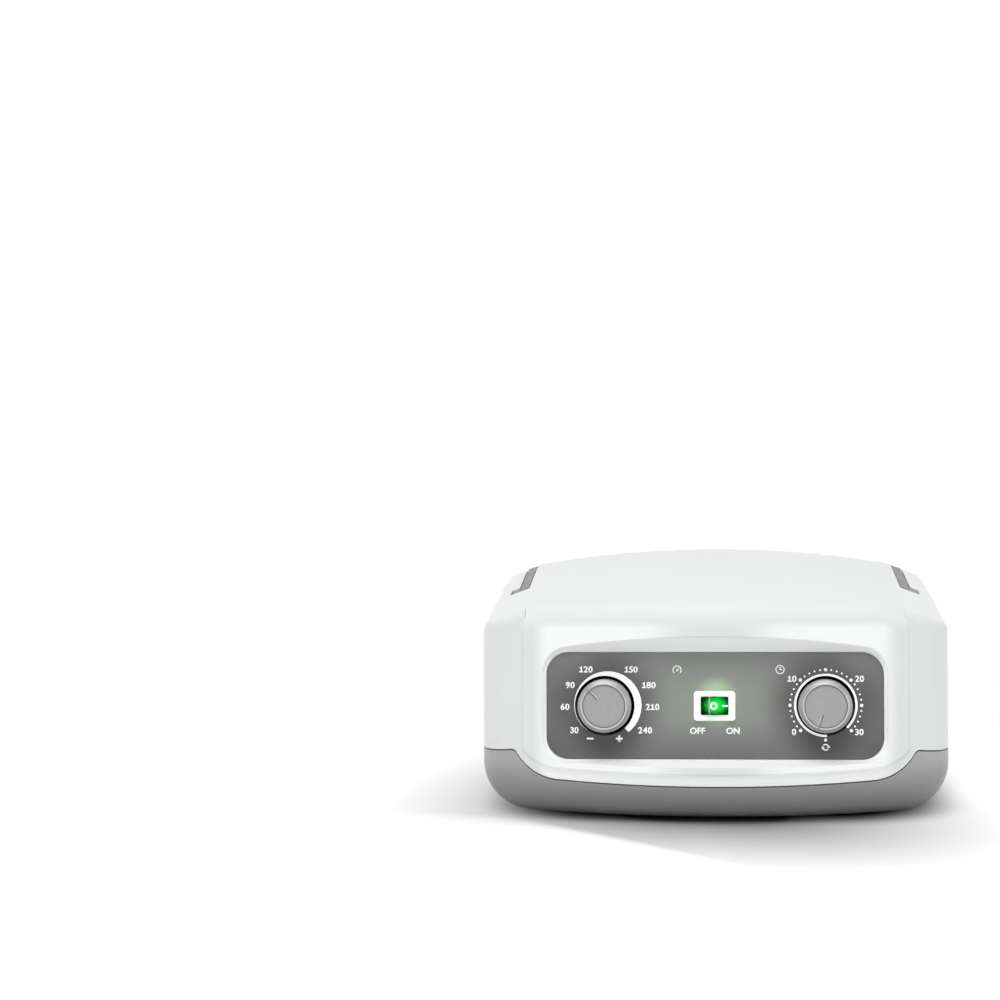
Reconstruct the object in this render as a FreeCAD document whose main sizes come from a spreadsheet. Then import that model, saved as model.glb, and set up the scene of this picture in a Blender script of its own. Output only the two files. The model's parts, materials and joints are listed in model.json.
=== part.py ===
import FreeCAD, Part
import Sketcher
import math
import os

# Compression therapy pump: a desk-top air pump with two rotary controls, a lit rocker switch, a folding
# carry handle, a vibrating-armature compressor and a rotary air distributor.
# Millimetres. +X is the pump's right as its user faces it, +Y is its rear and +Z is up.
# The origin is on the table, under the middle of the case.

Vector = FreeCAD.Vector

# Driving dimensions, in millimetres and degrees.
SIZES = {
    # case form
    "case_width": 241.0,
    "case_depth": 196.0,
    "foot_height": 0.8,
    "form_height": 132.0,
    "front_lean": 8.0,
    "rear_lean": 2.5,
    "front_bow": 290.0,
    "rear_bow": 700.0,
    "corner_radius": 30.0,
    "rear_corner_radius": 14.0,
    "wall": 2.6,
    "base_edge_radius": 25.0,
    "shoulder_radius": 5.0,
    "brow_radius": 15.0,
    "roof_station": "=case_depth / 2 + 22",
    # seam between base tray and upper shell
    "seam_gap": 0.7,
    "seam_middle_height": 20.4,
    "seam_sag": 1.5,
    "seam_side_height": 35.8,
    "seam_side_fall": 2.7,
    "seam_dip_half_width": "=case_width / 2 - 41.5",
    "seam_side_half_width": "=case_width / 2 - 16.5",
    "seam_shoulder_radius": 3.0,
    # cheeks, the lower side areas of the roof
    "cheek_inner_half_width": "=band_half_width - 2",
    "cheek_outer_half_width": "=case_width / 2 + 5.5",
    "cheek_front_height": 103.4,
    "cheek_middle_height": 110.2,
    "cheek_rear_height": 112.6,
    "cheek_slope": 20.0,
    "cheek_knee_front": "=case_width / 2 - 2",
    "cheek_knee_middle": "=case_width / 2 - 4.2",
    "cheek_knee_rear": "=case_width / 2 - 6.6",
    "cheek_knee_radius": 5.5,
    "cheek_flank_slope": 65.0,
    "cheek_roof_wall": 5.0,
    "cheek_flank_wall": 3.2,
    "channel_depth": 14.0,
    # band, the raised middle of front and roof
    "band_half_width": "=case_width / 2 - 21.5",
    "band_step": 1.6,
    "band_chamfer": 1.4,
    "band_lip": 5.5,
    "crown_reach": "=case_width / 2 - 8.5",
    "crown_front_height": 109.6,
    "crown_middle_height": 118.2,
    "crown_rear_height": 121.6,
    "crown_front_radius": 900.0,
    "crown_middle_radius": 700.0,
    "crown_rear_radius": 620.0,
    "crown_wall": 4.6,
    "brow_relief": 10.0,
    # control panel and its recess
    "panel_width": 171.0,
    "panel_height": 54.0,
    "panel_corner": 11.0,
    "panel_thickness": 3.0,
    "panel_centre_height": 59.3,
    "panel_setback": 14.5,
    "panel_gap": 0.25,
    "recess_margin": 0.8,
    "recess_top_flare": 9.0,
    "recess_bottom_flare": 4.0,
    "recess_side_flare": "=(case_width - panel_width) / 2 - 7",
    "recess_mouth_corner": 36.0,
    "recess_mouth_distance": 17.0,
    "recess_mouth_lead": 0.2,
    # carry handle and its well
    "handle_pivot_setback": 11.0,
    "handle_pivot_height": 101.3,
    "handle_arm_top": 113.0,
    "handle_arm_bottom": 98.8,
    "handle_rear_rise": 1.4,
    "handle_lug_radius": 8.1,
    "handle_arm_inner": "=band_half_width + handle_gap",
    "handle_arm_width": 5.0,
    "handle_grip_front": "=case_depth / 2 - 5.9 - rear_bow + sqrt(rear_bow ^ 2 - handle_arm_inner ^ 2)",
    "handle_grip_corner": 4.5,
    "handle_grip_bottom": 95.0,
    "handle_grip_top": 109.5,
    "handle_rear_inset": 1.0,
    "handle_gap": 0.6,
    "handle_boss_radius": 4.2,
    "handle_boss_reach": 4.2,
    "handle_well_front": "=handle_grip_front - 5",
    "handle_well_floor": 84.0,
    "handle_slot_lead": 1.2,
    "handle_pin_radius": 2.2,
    "pin_running_gap": 0.06,
    # screws, posts and feet
    "post_side": "=case_width / 2 - 27.5",
    "post_front": "=case_depth / 2 - 47",
    "post_rear": "=case_depth / 2 - 40",
    "post_radius": 5.5,
    "post_top": 31.0,
    "screw_radius": 2.0,
    "screw_gap": 0.1,
    "screw_head_radius": 3.6,
    "screw_head_height": 2.6,
    "screw_seat_height": 10.0,
    "screw_reach": 14.0,
    "foot_side": "=case_width / 2 - 50.5",
    "foot_front": "=case_depth / 2 - 46",
    "foot_rear": "=case_depth / 2 - 42",
    "foot_radius": 8.0,
    "foot_socket": 1.4,
    # rear bay and what is fixed in it
    "bay_half_width": 78.0,
    "bay_bottom": 40.0,
    "bay_top": 78.0,
    "bay_setback": "=case_depth / 2 - 12",
    "outlet_centre": -34.0,
    "outlet_height": 60.0,
    "outlet_width": 74.0,
    "outlet_depth": 22.0,
    "outlet_corner": 4.0,
    "outlet_thickness": 3.0,
    "nipple_count": 4,
    "nipple_pitch": 16.0,
    "nipple_radius": 4.0,
    "nipple_bore": 2.0,
    "nipple_length": 9.0,
    "nipple_tail_radius": 3.0,
    "nipple_tail_length": 10.0,
    "inlet_centre": 36.0,
    "inlet_height": 60.0,
    "inlet_body_width": 27.0,
    "inlet_body_height": 20.0,
    "inlet_flange_width": 50.0,
    "inlet_flange_height": 24.0,
    "inlet_flange_thickness": 3.0,
    "inlet_body_depth": 22.0,
    "inlet_mouth_width": 22.4,
    "inlet_mouth_height": 15.6,
    "inlet_mouth_depth": 16.0,
    "inlet_screw_spacing": 40.0,
    "inlet_screw_radius": 1.6,
    "inlet_screw_head": 2.9,
    "blade_width": 4.0,
    "blade_thickness": 2.0,
    "blade_length": 11.0,
    "blade_spacing": 7.0,
    "fuse_centre": 70.0,
    "fuse_height": 60.0,
    "fuse_body_radius": 6.2,
    "fuse_body_length": 30.0,
    "fuse_cap_radius": 7.4,
    "fuse_cap_length": 4.0,
    "fuse_radius": 2.6,
    "fuse_length": 20.0,
    # air intake
    "intake_side": "=case_width / 2 - 39.5",
    "intake_rear": 24.0,
    "intake_radius": 13.0,
    "intake_depth": 1.5,
    "intake_hole_radius": 1.6,
    "intake_hole_circle": 6.5,
    "intake_hole_count": 6,
    # knobs and what they turn
    "knob_side": 56.0,
    "knob_radius": 13.7,
    "knob_top_radius": 13.3,
    "knob_skirt": 1.2,
    "knob_height": 12.6,
    "knob_bevel_radius": 11.4,
    "knob_bevel_height": 1.2,
    "knob_disc_radius": 10.5,
    "knob_disc_thickness": 0.9,
    "knob_disc_sink": 0.3,
    "knob_hollow_radius": 9.2,
    "knob_hollow_height": 4.2,
    "knob_well_radius": 15.2,
    "knob_well_depth": 1.8,
    "pressure_pointer_angle": 135.0,
    "time_pointer_angle": 251.0,
    "pointer_inner": 5.0,
    "pointer_width": 1.1,
    "pointer_depth": 0.4,
    "spindle_radius": 3.0,
    "spindle_reach": 10.0,
    "spindle_gap": 0.04,
    "bushing_radius": 4.0,
    "bushing_reach": 2.6,
    "bushing_hole_gap": 0.2,
    "nut_radius": 6.6,
    "nut_thickness": 2.2,
    "nut_bore_gap": 0.05,
    "valve_radius": 11.0,
    "valve_length": 24.0,
    "valve_nipple_radius": 2.5,
    "valve_nipple_length": 8.0,
    "valve_nipple_bore": 1.2,
    "timer_width": 40.0,
    "timer_length": 27.0,
    "timer_corner": 4.0,
    "spindle_depth": 18.0,
    "tab_width": 6.3,
    "tab_thickness": 0.8,
    "tab_length": 8.0,
    "tab_spacing": 11.0,
    # rocker switch
    "switch_width": 21.0,
    "switch_height": 15.0,
    "switch_corner": 1.6,
    "switch_flange": 1.6,
    "switch_body_width": 18.8,
    "switch_body_height": 12.6,
    "switch_body_depth": 20.0,
    "switch_cutout_gap": 0.2,
    "switch_opening_width": 14.6,
    "switch_opening_height": 9.6,
    "switch_opening_depth": 9.0,
    "rocker_reach": 7.05,
    "rocker_width": 9.1,
    "rocker_pivot_depth": 1.5,
    "rocker_ridge_side": 2.65,
    "rocker_ridge_height": 4.1,
    "rocker_end_height": 1.75,
    "rocker_bottom_side": 5.2,
    "rocker_axle_radius": 1.2,
    "rocker_axle_length": 11.2,
    "rocker_axle_gap": 0.05,
    "lamp_radius": 1.6,
    "lamp_length": 5.0,
    "lamp_gap": 0.2,
    # compressor
    "compressor_x": -42.0,
    "compressor_y": 22.0,
    "isolator_radius": 7.0,
    "isolator_height": 10.0,
    "frame_length": 84.0,
    "frame_width": 66.0,
    "frame_end_width": 48.0,
    "frame_thickness": 3.0,
    "frame_end_height": 54.0,
    "armature_height": 27.0,
    "armature_length": 54.0,
    "armature_width": 5.0,
    "armature_depth": 14.0,
    "armature_rod_radius": 2.4,
    "armature_stroke": 1.3,
    "magnet_length": 12.0,
    "magnet_thickness": 3.0,
    "magnet_spacing": 13.0,
    "magnet_gap": 2.0,
    "core_length": 40.0,
    "core_leg_length": 12.0,
    "core_leg_width": 8.0,
    "core_height": 22.0,
    "core_back": 6.0,
    "coil_thickness": 4.4,
    "coil_gap": 0.3,
    "diaphragm_radius": 21.0,
    "diaphragm_thickness": 2.0,
    "stroke_clearance": 0.3,
    "diaphragm_gap": 0.3,
    "diaphragm_hub_radius": 7.0,
    "diaphragm_hub_length": 4.0,
    "frame_window_radius": 17.0,
    "head_radius": 24.0,
    "head_length": 17.0,
    "head_room_radius": 17.0,
    "head_room_depth": 11.0,
    "head_nipple_radius": 3.0,
    "head_nipple_length": 8.0,
    "head_nipple_bore": 1.6,
    # air distributor
    "distributor_x": 46.0,
    "distributor_y": 40.0,
    "motor_radius": 25.0,
    "motor_height": 19.0,
    "motor_stand": 4.0,
    "gear_shaft_radius": 3.0,
    "gear_shaft_length": 12.0,
    "cup_radius": 23.0,
    "cup_height": 13.0,
    "cup_wall": 3.0,
    "cup_shaft_gap": 0.05,
    "motor_pedestal_radius": 10.0,
    "rotor_radius": 19.0,
    "rotor_thickness": 5.0,
    "rotor_clearance": 0.4,
    "rotor_slot_width": 4.4,
    "rotor_slot_length": 10.0,
    "ported_thickness": 5.0,
    "port_circle": 14.0,
    "port_radius": 2.6,
    "port_bore": 1.4,
    "port_length": 9.0,
    # electronics
    "board_x": 42.0,
    "board_y": -26.0,
    "board_length": 80.0,
    "board_width": 50.0,
    "board_thickness": 1.6,
    "board_height": 13.0,
    "board_margin": 4.0,
    "standoff_radius": 3.2,
    "board_screw_radius": 1.4,
    "board_screw_head": 2.6,
    "transformer_length": 30.0,
    "transformer_width": 25.0,
    "transformer_height": 20.0,
    "transformer_core": 8.0,
    "capacitor_radius": 5.0,
    "capacitor_height": 14.0,
    "relay_length": 19.0,
    "relay_width": 15.0,
    "relay_height": 15.0,
    "terminal_length": 25.0,
    "terminal_width": 8.0,
    "terminal_height": 10.0,
    # air lines
    "line_radius": 3.6,
    "line_bore": 2.0,
    "line_level_low": 70.0,
    "line_level_step": 8.0,
    "supply_level": 104.0,
    "line_straight": 9.0,
}


class Size:
    """A number that also carries the sheet expression which gives it."""

    def __init__(self, value, text):
        self.value = value
        self.text = text

    def is_bound(self):
        return "Sizes." in self.text

    def __add__(self, other):
        other = as_size(other)
        return Size(self.value + other.value, f"({self.text} + {other.text})")

    def __sub__(self, other):
        other = as_size(other)
        return Size(self.value - other.value, f"({self.text} - {other.text})")

    def __mul__(self, other):
        other = as_size(other)
        return Size(self.value * other.value, f"({self.text} * {other.text})")

    def __truediv__(self, other):
        other = as_size(other)
        return Size(self.value / other.value, f"({self.text} / {other.text})")

    def __rsub__(self, other):
        return as_size(other) - self

    def __rtruediv__(self, other):
        return as_size(other) / self

    def __neg__(self):
        return Size(-self.value, f"(0 - {self.text})")

    __radd__ = __add__
    __rmul__ = __mul__


def as_size(number):
    if isinstance(number, Size):
        return number
    return Size(float(number), f"({float(number):.9f})")


def root(size):
    return Size(math.sqrt(size.value), f"sqrt({size.text})")


def sine(angle):
    return Size(math.sin(math.radians(angle.value)), f"sin({angle.text})")


def cosine(angle):
    return Size(math.cos(math.radians(angle.value)), f"cos({angle.text})")


def tangent(angle):
    return Size(math.tan(math.radians(angle.value)), f"tan({angle.text})")


class Sheet:
    """The dimensions as Size values, one attribute for each; some follow others by a formula."""

    def __init__(self, document, sizes):
        table = document.addObject("Spreadsheet::Sheet", "Sizes")
        for row, name in enumerate(sizes, start=1):
            table.setAlias(f"B{row}", name)
        for row, (name, value) in enumerate(sizes.items(), start=1):
            table.set(f"A{row}", name)
            table.set(f"B{row}", str(value))
        document.recompute()
        for name in sizes:
            setattr(self, name, Size(float(table.get(name)), f"Sizes.{name}"))


document = FreeCAD.newDocument("CompressionPump")
size = Sheet(document, SIZES)


# Helpers for sketches, features and placements

def bind(thing, path, number):
    """Give a property its value and, where the sheet drives it, its expression."""
    number = as_size(number)
    if "." not in path:
        setattr(thing, path, number.value)
    if number.is_bound():
        thing.setExpression(path, number.text)


def place(thing, x=0, y=0, z=0, axis=(0, 0, 1), angle=0):
    """Put an object at a point, turned by an angle about an axis through that point."""
    x, y, z, angle = (as_size(number) for number in (x, y, z, angle))
    turn = FreeCAD.Rotation(Vector(*axis), angle.value)
    thing.Placement = FreeCAD.Placement(Vector(x.value, y.value, z.value), turn)
    bind(thing, "Placement.Base.x", x)
    bind(thing, "Placement.Base.y", y)
    bind(thing, "Placement.Base.z", z)
    bind(thing, "Placement.Rotation.Angle", angle)
    return thing


def new_body(label):
    body = document.addObject("PartDesign::Body", label)
    body.Label = label
    return body


def new_sketch(body, plane, name, offset=0):
    """A sketch on one of the body's own origin planes, moved along the plane's normal."""
    sketch = body.newObject("Sketcher::SketchObject", name)
    support = [feature for feature in body.Origin.OriginFeatures if feature.Role == plane][0]
    sketch.AttachmentSupport = [(support, "")]
    sketch.MapMode = "FlatFace"
    offset = as_size(offset)
    sketch.AttachmentOffset = FreeCAD.Placement(Vector(0, 0, offset.value), FreeCAD.Rotation())
    bind(sketch, "AttachmentOffset.Base.z", offset)
    return sketch


def constrain(sketch, number, *definition):
    number = as_size(number)
    index = sketch.addConstraint(Sketcher.Constraint(*definition, number.value))
    if number.is_bound():
        sketch.setExpression(f"Constraints[{index}]", number.text)


def hold_point(sketch, geometry, end, x, y):
    """Fix one end of a sketch element at its distances from the sketch's origin."""
    constrain(sketch, x, "DistanceX", -1, 1, geometry, end)
    constrain(sketch, y, "DistanceY", -1, 1, geometry, end)


def arc_between(start, finish, bend):
    """The shorter arc from start to finish; a positive bend turns left, a negative one right."""
    chord = finish - start
    middle = (start + finish) * 0.5
    left = Vector(-chord.y, chord.x, 0).normalize()
    rise = math.sqrt(max(bend * bend - chord.Length ** 2 / 4, 0))
    centre = middle + left * math.copysign(rise, bend)
    first, last = (start, finish) if bend > 0 else (finish, start)
    circle = Part.Circle(centre, Vector(0, 0, 1), abs(bend))
    return Part.ArcOfCircle(circle, circle.parameter(first), circle.parameter(last))


def draw_path(sketch, steps):
    """A closed outline. Each step is (x, y, bend): None for a line to the next point, or an arc's radius."""
    first_geometry = sketch.GeometryCount
    count = len(steps)
    ends = []
    for index, (x, y, bend) in enumerate(steps):
        next_x, next_y, _ = steps[(index + 1) % count]
        start = Vector(as_size(x).value, as_size(y).value, 0)
        finish = Vector(as_size(next_x).value, as_size(next_y).value, 0)
        if bend is None:
            sketch.addGeometry(Part.LineSegment(start, finish))
            ends.append((1, 2))
        else:
            sketch.addGeometry(arc_between(start, finish, as_size(bend).value))
            ends.append((1, 2) if as_size(bend).value > 0 else (2, 1))
    for index in range(count):
        following = (index + 1) % count
        sketch.addConstraint(Sketcher.Constraint(
            "Coincident", first_geometry + index, ends[index][1],
            first_geometry + following, ends[following][0]))
    for index, (x, y, bend) in enumerate(steps):
        hold_point(sketch, first_geometry + index, ends[index][0], x, y)
        if bend is not None:
            radius = as_size(bend)
            if radius.value < 0:
                radius = -radius
            constrain(sketch, radius, "Radius", first_geometry + index)


def draw_polygon(sketch, points):
    draw_path(sketch, [(x, y, None) for x, y in points])


def draw_rectangle(sketch, x0, y0, x1, y1):
    draw_polygon(sketch, [(x0, y0), (x1, y0), (x1, y1), (x0, y1)])


def draw_rounded_rectangle(sketch, x0, y0, x1, y1, radius):
    draw_path(sketch, [
        (x0 + radius, y0, None), (x1 - radius, y0, radius),
        (x1, y0 + radius, None), (x1, y1 - radius, radius),
        (x1 - radius, y1, None), (x0 + radius, y1, radius),
        (x0, y1 - radius, None), (x0, y0 + radius, radius)])


def draw_circle(sketch, x, y, radius):
    centre = Vector(as_size(x).value, as_size(y).value, 0)
    index = sketch.addGeometry(Part.Circle(centre, Vector(0, 0, 1), as_size(radius).value))
    hold_point(sketch, index, 3, x, y)
    constrain(sketch, radius, "Radius", index)


def add_pad(body, sketch, length, both_ways=False, backwards=False):
    pad = body.newObject("PartDesign::Pad", f"{body.Name}_pad")
    pad.Profile = sketch
    bind(pad, "Length", length)
    pad.SideType = "Symmetric" if both_ways else "One side"
    pad.Reversed = backwards
    body.Tip = pad
    return pad


def add_pocket(body, sketch, length, both_ways=False, backwards=False):
    """Cut a pocket and make sure that it took material away."""
    document.recompute()
    before = body.Shape.Volume
    pocket = body.newObject("PartDesign::Pocket", f"{body.Name}_pocket")
    pocket.Profile = sketch
    bind(pocket, "Length", length)
    pocket.SideType = "Symmetric" if both_ways else "One side"
    pocket.Reversed = backwards
    body.Tip = pocket
    document.recompute()
    if body.Shape.Volume > before - 1e-6:
        raise RuntimeError(f"{body.Label}: pocket {pocket.Name} cuts nothing")
    return pocket


def add_revolution(body, sketch):
    """Turn a profile drawn on the XZ plane about the body's Z axis."""
    turn = body.newObject("PartDesign::Revolution", f"{body.Name}_turn")
    turn.Profile = sketch
    turn.ReferenceAxis = (sketch, ["V_Axis"])
    turn.Angle = 360
    body.Tip = turn
    return turn


def add_loft(body, kind, sketches, ruled):
    loft = body.newObject(f"PartDesign::{kind}Loft", f"{body.Name}_loft")
    loft.Profile = sketches[0]
    loft.Sections = sketches[1:]
    loft.Ruled = ruled
    body.Tip = loft
    return loft


def edge_names(shape, wanted):
    """The names of the edges for which wanted(edge) is true."""
    return [f"Edge{index}" for index, edge in enumerate(shape.Edges, start=1) if wanted(edge)]


def add_fillet(body, wanted, radius, kind="Fillet"):
    """Round or chamfer the body's edges for which wanted(edge) is true."""
    document.recompute()
    base = body.Tip
    names = edge_names(base.Shape, wanted)
    if not names:
        raise RuntimeError(f"{body.Label}: no edge to finish")
    dress = body.newObject(f"PartDesign::{kind}", f"{body.Name}_{kind.lower()}")
    dress.Base = (base, names)
    bind(dress, "Size" if kind == "Chamfer" else "Radius", radius)
    body.Tip = dress
    return dress


def combine(kind, label, pieces):
    """A Part::MultiFuse, Part::MultiCommon or Part::Compound of several objects."""
    result = document.addObject(f"Part::{kind}", label)
    result.Label = label
    if kind == "Compound":
        result.Links = pieces
    else:
        result.Shapes = pieces
        result.Refine = False
    return result


def cut(label, base, tool):
    result = document.addObject("Part::Cut", label)
    result.Label = label
    result.Base = base
    result.Tool = tool
    result.Refine = False
    return result


# Case form

half_width = size.case_width / 2
front_edge = -size.case_depth / 2
rear_edge = size.case_depth / 2
far = size.case_width
form_rise = size.form_height - size.foot_height


def corner_points(bow, half, radius):
    """Where a corner arc leaves the bowed wall (x, set back from its crest) and where it meets the side."""
    reach = bow - radius
    side = half - radius
    fall = root(reach * reach - side * side)
    return side * bow / reach, bow - fall * bow / reach, bow - fall


def plan_steps(inset, front, rear):
    """The case outline seen from above, drawn inset from its full size, with its crests at front and rear."""
    half = half_width - inset
    radius = size.corner_radius - inset
    rear_radius = size.rear_corner_radius - inset
    front_bow = size.front_bow - inset
    rear_bow = size.rear_bow - inset
    front_x, front_back, front_side = corner_points(front_bow, half, radius)
    rear_x, rear_back, rear_side = corner_points(rear_bow, half, rear_radius)
    return [
        (-front_x, front + inset + front_back, front_bow),
        (front_x, front + inset + front_back, radius),
        (half, front + inset + front_side, None),
        (half, rear - inset - rear_side, rear_radius),
        (rear_x, rear - inset - rear_back, rear_bow),
        (-rear_x, rear - inset - rear_back, rear_radius),
        (-half, rear - inset - rear_side, None),
        (-half, front + inset + front_side, radius)]


def band_steps(front, rear):
    """The outline of the raised band: the same bows, one step further out, and straight far sides."""
    side = size.crown_reach
    front_bow = size.front_bow + size.band_step
    rear_bow = size.rear_bow + size.band_step
    front_side = front + size.front_bow - root(front_bow * front_bow - side * side)
    rear_side = rear - size.rear_bow + root(rear_bow * rear_bow - side * side)
    return [
        (-side, front_side, front_bow), (side, front_side, None),
        (side, rear_side, rear_bow), (-side, rear_side, None)]


def add_walls(body, steps_at, bottom):
    """Loft the leaning walls of the case from the outline at the bottom to the one at form height."""
    rise = size.form_height - bottom
    low_front = front_edge + (bottom - size.foot_height) * tangent(size.front_lean)
    low_rear = rear_edge - (bottom - size.foot_height) * tangent(size.rear_lean)
    low = new_sketch(body, "XY_Plane", f"{body.Name}_low_outline", bottom)
    draw_path(low, steps_at(low_front, low_rear))
    high = new_sketch(body, "XY_Plane", f"{body.Name}_high_outline", size.form_height)
    draw_path(high, steps_at(
        low_front + rise * tangent(size.front_lean), low_rear - rise * tangent(size.rear_lean)))
    return add_loft(body, "Additive", [low, high], True)


def cheek_fall(knee):
    """How far a cheek falls from the band to its knee, where the steep flank begins."""
    return (knee - size.cheek_inner_half_width) * tangent(size.cheek_slope)


def flank_fall(knee):
    """How far the flank falls from the knee to the section's outer end."""
    return (size.cheek_outer_half_width - knee) * tangent(size.cheek_flank_slope)


def cheek_section(inner_height, knee, channel_depth):
    """What the roof cut takes away over both cheeks, each with a rounded knee, and between them."""
    inner = size.cheek_inner_half_width
    outer = size.cheek_outer_half_width
    knee_height = inner_height - cheek_fall(knee)
    outer_height = knee_height - flank_fall(knee)
    round_off = size.cheek_knee_radius * tangent((size.cheek_flank_slope - size.cheek_slope) / 2)
    upper = (knee - round_off * cosine(size.cheek_slope), knee_height + round_off * sine(size.cheek_slope))
    lower = (knee + round_off * cosine(size.cheek_flank_slope),
             knee_height - round_off * sine(size.cheek_flank_slope))
    bend = -size.cheek_knee_radius
    channel = inner_height - channel_depth
    top = size.form_height + size.wall
    return [
        (-outer, outer_height, None), (-lower[0], lower[1], bend), (-upper[0], upper[1], None),
        (-inner, inner_height, None), (-inner, channel, None), (inner, channel, None),
        (inner, inner_height, None), (upper[0], upper[1], bend), (lower[0], lower[1], None),
        (outer, outer_height, None), (outer, top, None), (-outer, top, None)]


def crown_section(height, radius):
    """What the roof cut takes away over the band: everything above a shallow arch."""
    reach = size.crown_reach + size.band_step
    side_height = height - radius + root(radius * radius - reach * reach)
    top = size.form_height + size.wall
    return [
        (-reach, top, None), (-reach, side_height, -radius), (reach, side_height, None), (reach, top, None)]


def cavity_section(inner_height, outside_knee, crown_height):
    """The same for the inside of the shell: slopes and flanks at the sides and a low ridge in the middle."""
    inner = size.cheek_inner_half_width
    outer = size.cheek_outer_half_width
    slope_height = inner_height - size.cheek_roof_wall
    steepness = tangent(size.cheek_flank_slope)
    shift = (size.cheek_flank_wall * steepness - size.cheek_roof_wall) / (
        steepness - tangent(size.cheek_slope))
    knee = outside_knee - shift
    knee_height = slope_height - (knee - inner) * tangent(size.cheek_slope)
    outer_height = knee_height - (outer - knee) * steepness
    top = size.form_height + size.wall
    return [
        (-outer, outer_height), (-knee, knee_height), (-inner, slope_height),
        (0, crown_height - size.crown_wall), (inner, slope_height), (knee, knee_height),
        (outer, outer_height), (outer, top), (-outer, top)]


def cut_roof(body, front, middle, rear):
    """Cut the roof with a smooth loft through three cross-sections of what is above it."""
    sketches = []
    stations = (("front", -size.roof_station, front), ("middle", as_size(0), middle),
                ("rear", size.roof_station, rear))
    for name, station, section in stations:
        sketch = new_sketch(body, "XZ_Plane", f"{body.Name}_roof_{name}", -station)
        draw_path(sketch, [step if len(step) == 3 else (*step, None) for step in section])
        sketches.append(sketch)
    return add_loft(body, "Subtractive", sketches, False)


def cut_cheeks(body, channel_depth):
    """Cut the roof over the cheeks, and between them down to the depth of a channel."""
    cut_roof(body, cheek_section(size.cheek_front_height, size.cheek_knee_front, channel_depth),
             cheek_section(size.cheek_middle_height, size.cheek_knee_middle, channel_depth),
             cheek_section(size.cheek_rear_height, size.cheek_knee_rear, channel_depth))


def is_roof_edge_of_cheek(edge):
    """Edges between the walls and a cheek's roof."""
    box = edge.BoundBox
    inner = size.cheek_inner_half_width.value - 0.01
    on_cheek = box.XMin > inner or box.XMax < -inner
    fall = cheek_fall(size.cheek_knee_rear).value + flank_fall(size.cheek_knee_rear).value
    low = size.cheek_front_height.value - fall
    flat = box.ZMax - box.ZMin < fall
    inside = min(abs(box.XMin), abs(box.XMax)) < inner + 0.02 and box.XMax - box.XMin < 0.02
    return on_cheek and box.ZMin > low and box.ZMax < size.form_height.value - 1 and flat and not inside


def is_at_height(height):
    return lambda edge: abs(edge.BoundBox.ZMin - height.value) < 0.01 and edge.BoundBox.ZLength < 0.01


def make_case_form():
    """The outside of the case without the band: leaning walls, sloping cheeks and a rounded base edge."""
    body = new_body("case_form")
    add_walls(body, lambda front, rear: plan_steps(0, front, rear), size.foot_height)
    cut_cheeks(body, size.channel_depth)
    add_fillet(body, is_at_height(size.foot_height), size.base_edge_radius)
    add_fillet(body, is_roof_edge_of_cheek, size.shoulder_radius)
    return body


def make_case_cavity():
    """The room inside the case."""
    body = new_body("case_cavity")
    floor = size.foot_height + size.wall
    add_walls(body, lambda front, rear: plan_steps(size.wall, front, rear), floor)
    cut_roof(body, cavity_section(size.cheek_front_height, size.cheek_knee_front, size.crown_front_height),
             cavity_section(size.cheek_middle_height, size.cheek_knee_middle, size.crown_middle_height),
             cavity_section(size.cheek_rear_height, size.cheek_knee_rear, size.crown_rear_height))
    add_fillet(body, is_at_height(floor), size.base_edge_radius - size.wall)
    relief = new_sketch(body, "YZ_Plane", "case_cavity_relief")
    height = size.crown_front_height - size.crown_wall
    front = front_edge + size.wall + (height - size.foot_height) * tangent(size.front_lean)
    rear_height = size.crown_rear_height - size.crown_wall
    rear = rear_edge - size.wall - (rear_height - size.foot_height) * tangent(size.rear_lean)
    reach = far / 8
    for edge, crest, way in ((front, height, 1), (rear, rear_height, -1)):
        draw_polygon(relief, [
            (edge - way * reach, crest - size.brow_relief - reach),
            (edge + way * (size.brow_relief + reach), crest + reach),
            (edge - way * reach, crest + reach)])
    add_pocket(body, relief, far * 2, both_ways=True)
    return body


def seam_points(shift):
    """Half of the seam line, from the side to the middle: heights raised by shift."""
    drop = size.seam_side_height - size.seam_middle_height - size.seam_sag
    run = size.seam_side_half_width - size.seam_dip_half_width
    slope = drop / run
    turn = 2 * slope / (1 + slope * slope)
    sink = 2 * slope * slope / (1 + slope * slope)
    upper = size.seam_shoulder_radius
    lower = run / turn - upper
    start = (size.seam_side_half_width, size.seam_side_height + shift)
    middle = (start[0] - upper * turn, start[1] - upper * sink)
    finish = (size.seam_dip_half_width, start[1] - drop)
    return start, middle, finish, upper, lower


def seam_path(shift, closing):
    """The seam line from left to right, closed by the points given."""
    start, middle, finish, upper, lower = seam_points(shift)
    reach = size.seam_dip_half_width
    sag = size.seam_sag
    dip = (reach * reach + sag * sag) / (2 * sag)
    low_side = start[1] - size.seam_side_fall
    return [
        (-far, low_side, None), (-half_width, low_side, None),
        (-start[0], start[1], -upper), (-middle[0], middle[1], lower), (-finish[0], finish[1], dip),
        (finish[0], finish[1], lower), (middle[0], middle[1], -upper), (start[0], start[1], None),
        (half_width, low_side, None), (far, low_side, None)] + closing


def make_seam_cutter(label, shift, above):
    """A block that covers everything above or below the seam line."""
    body = new_body(label)
    sketch = new_sketch(body, "XZ_Plane", f"{label}_line")
    height = size.form_height * 2 if above else -size.form_height
    draw_path(sketch, seam_path(shift, [(far, height, None), (-far, height, None)]))
    add_pad(body, sketch, far * 2, both_ways=True)
    return body


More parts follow.
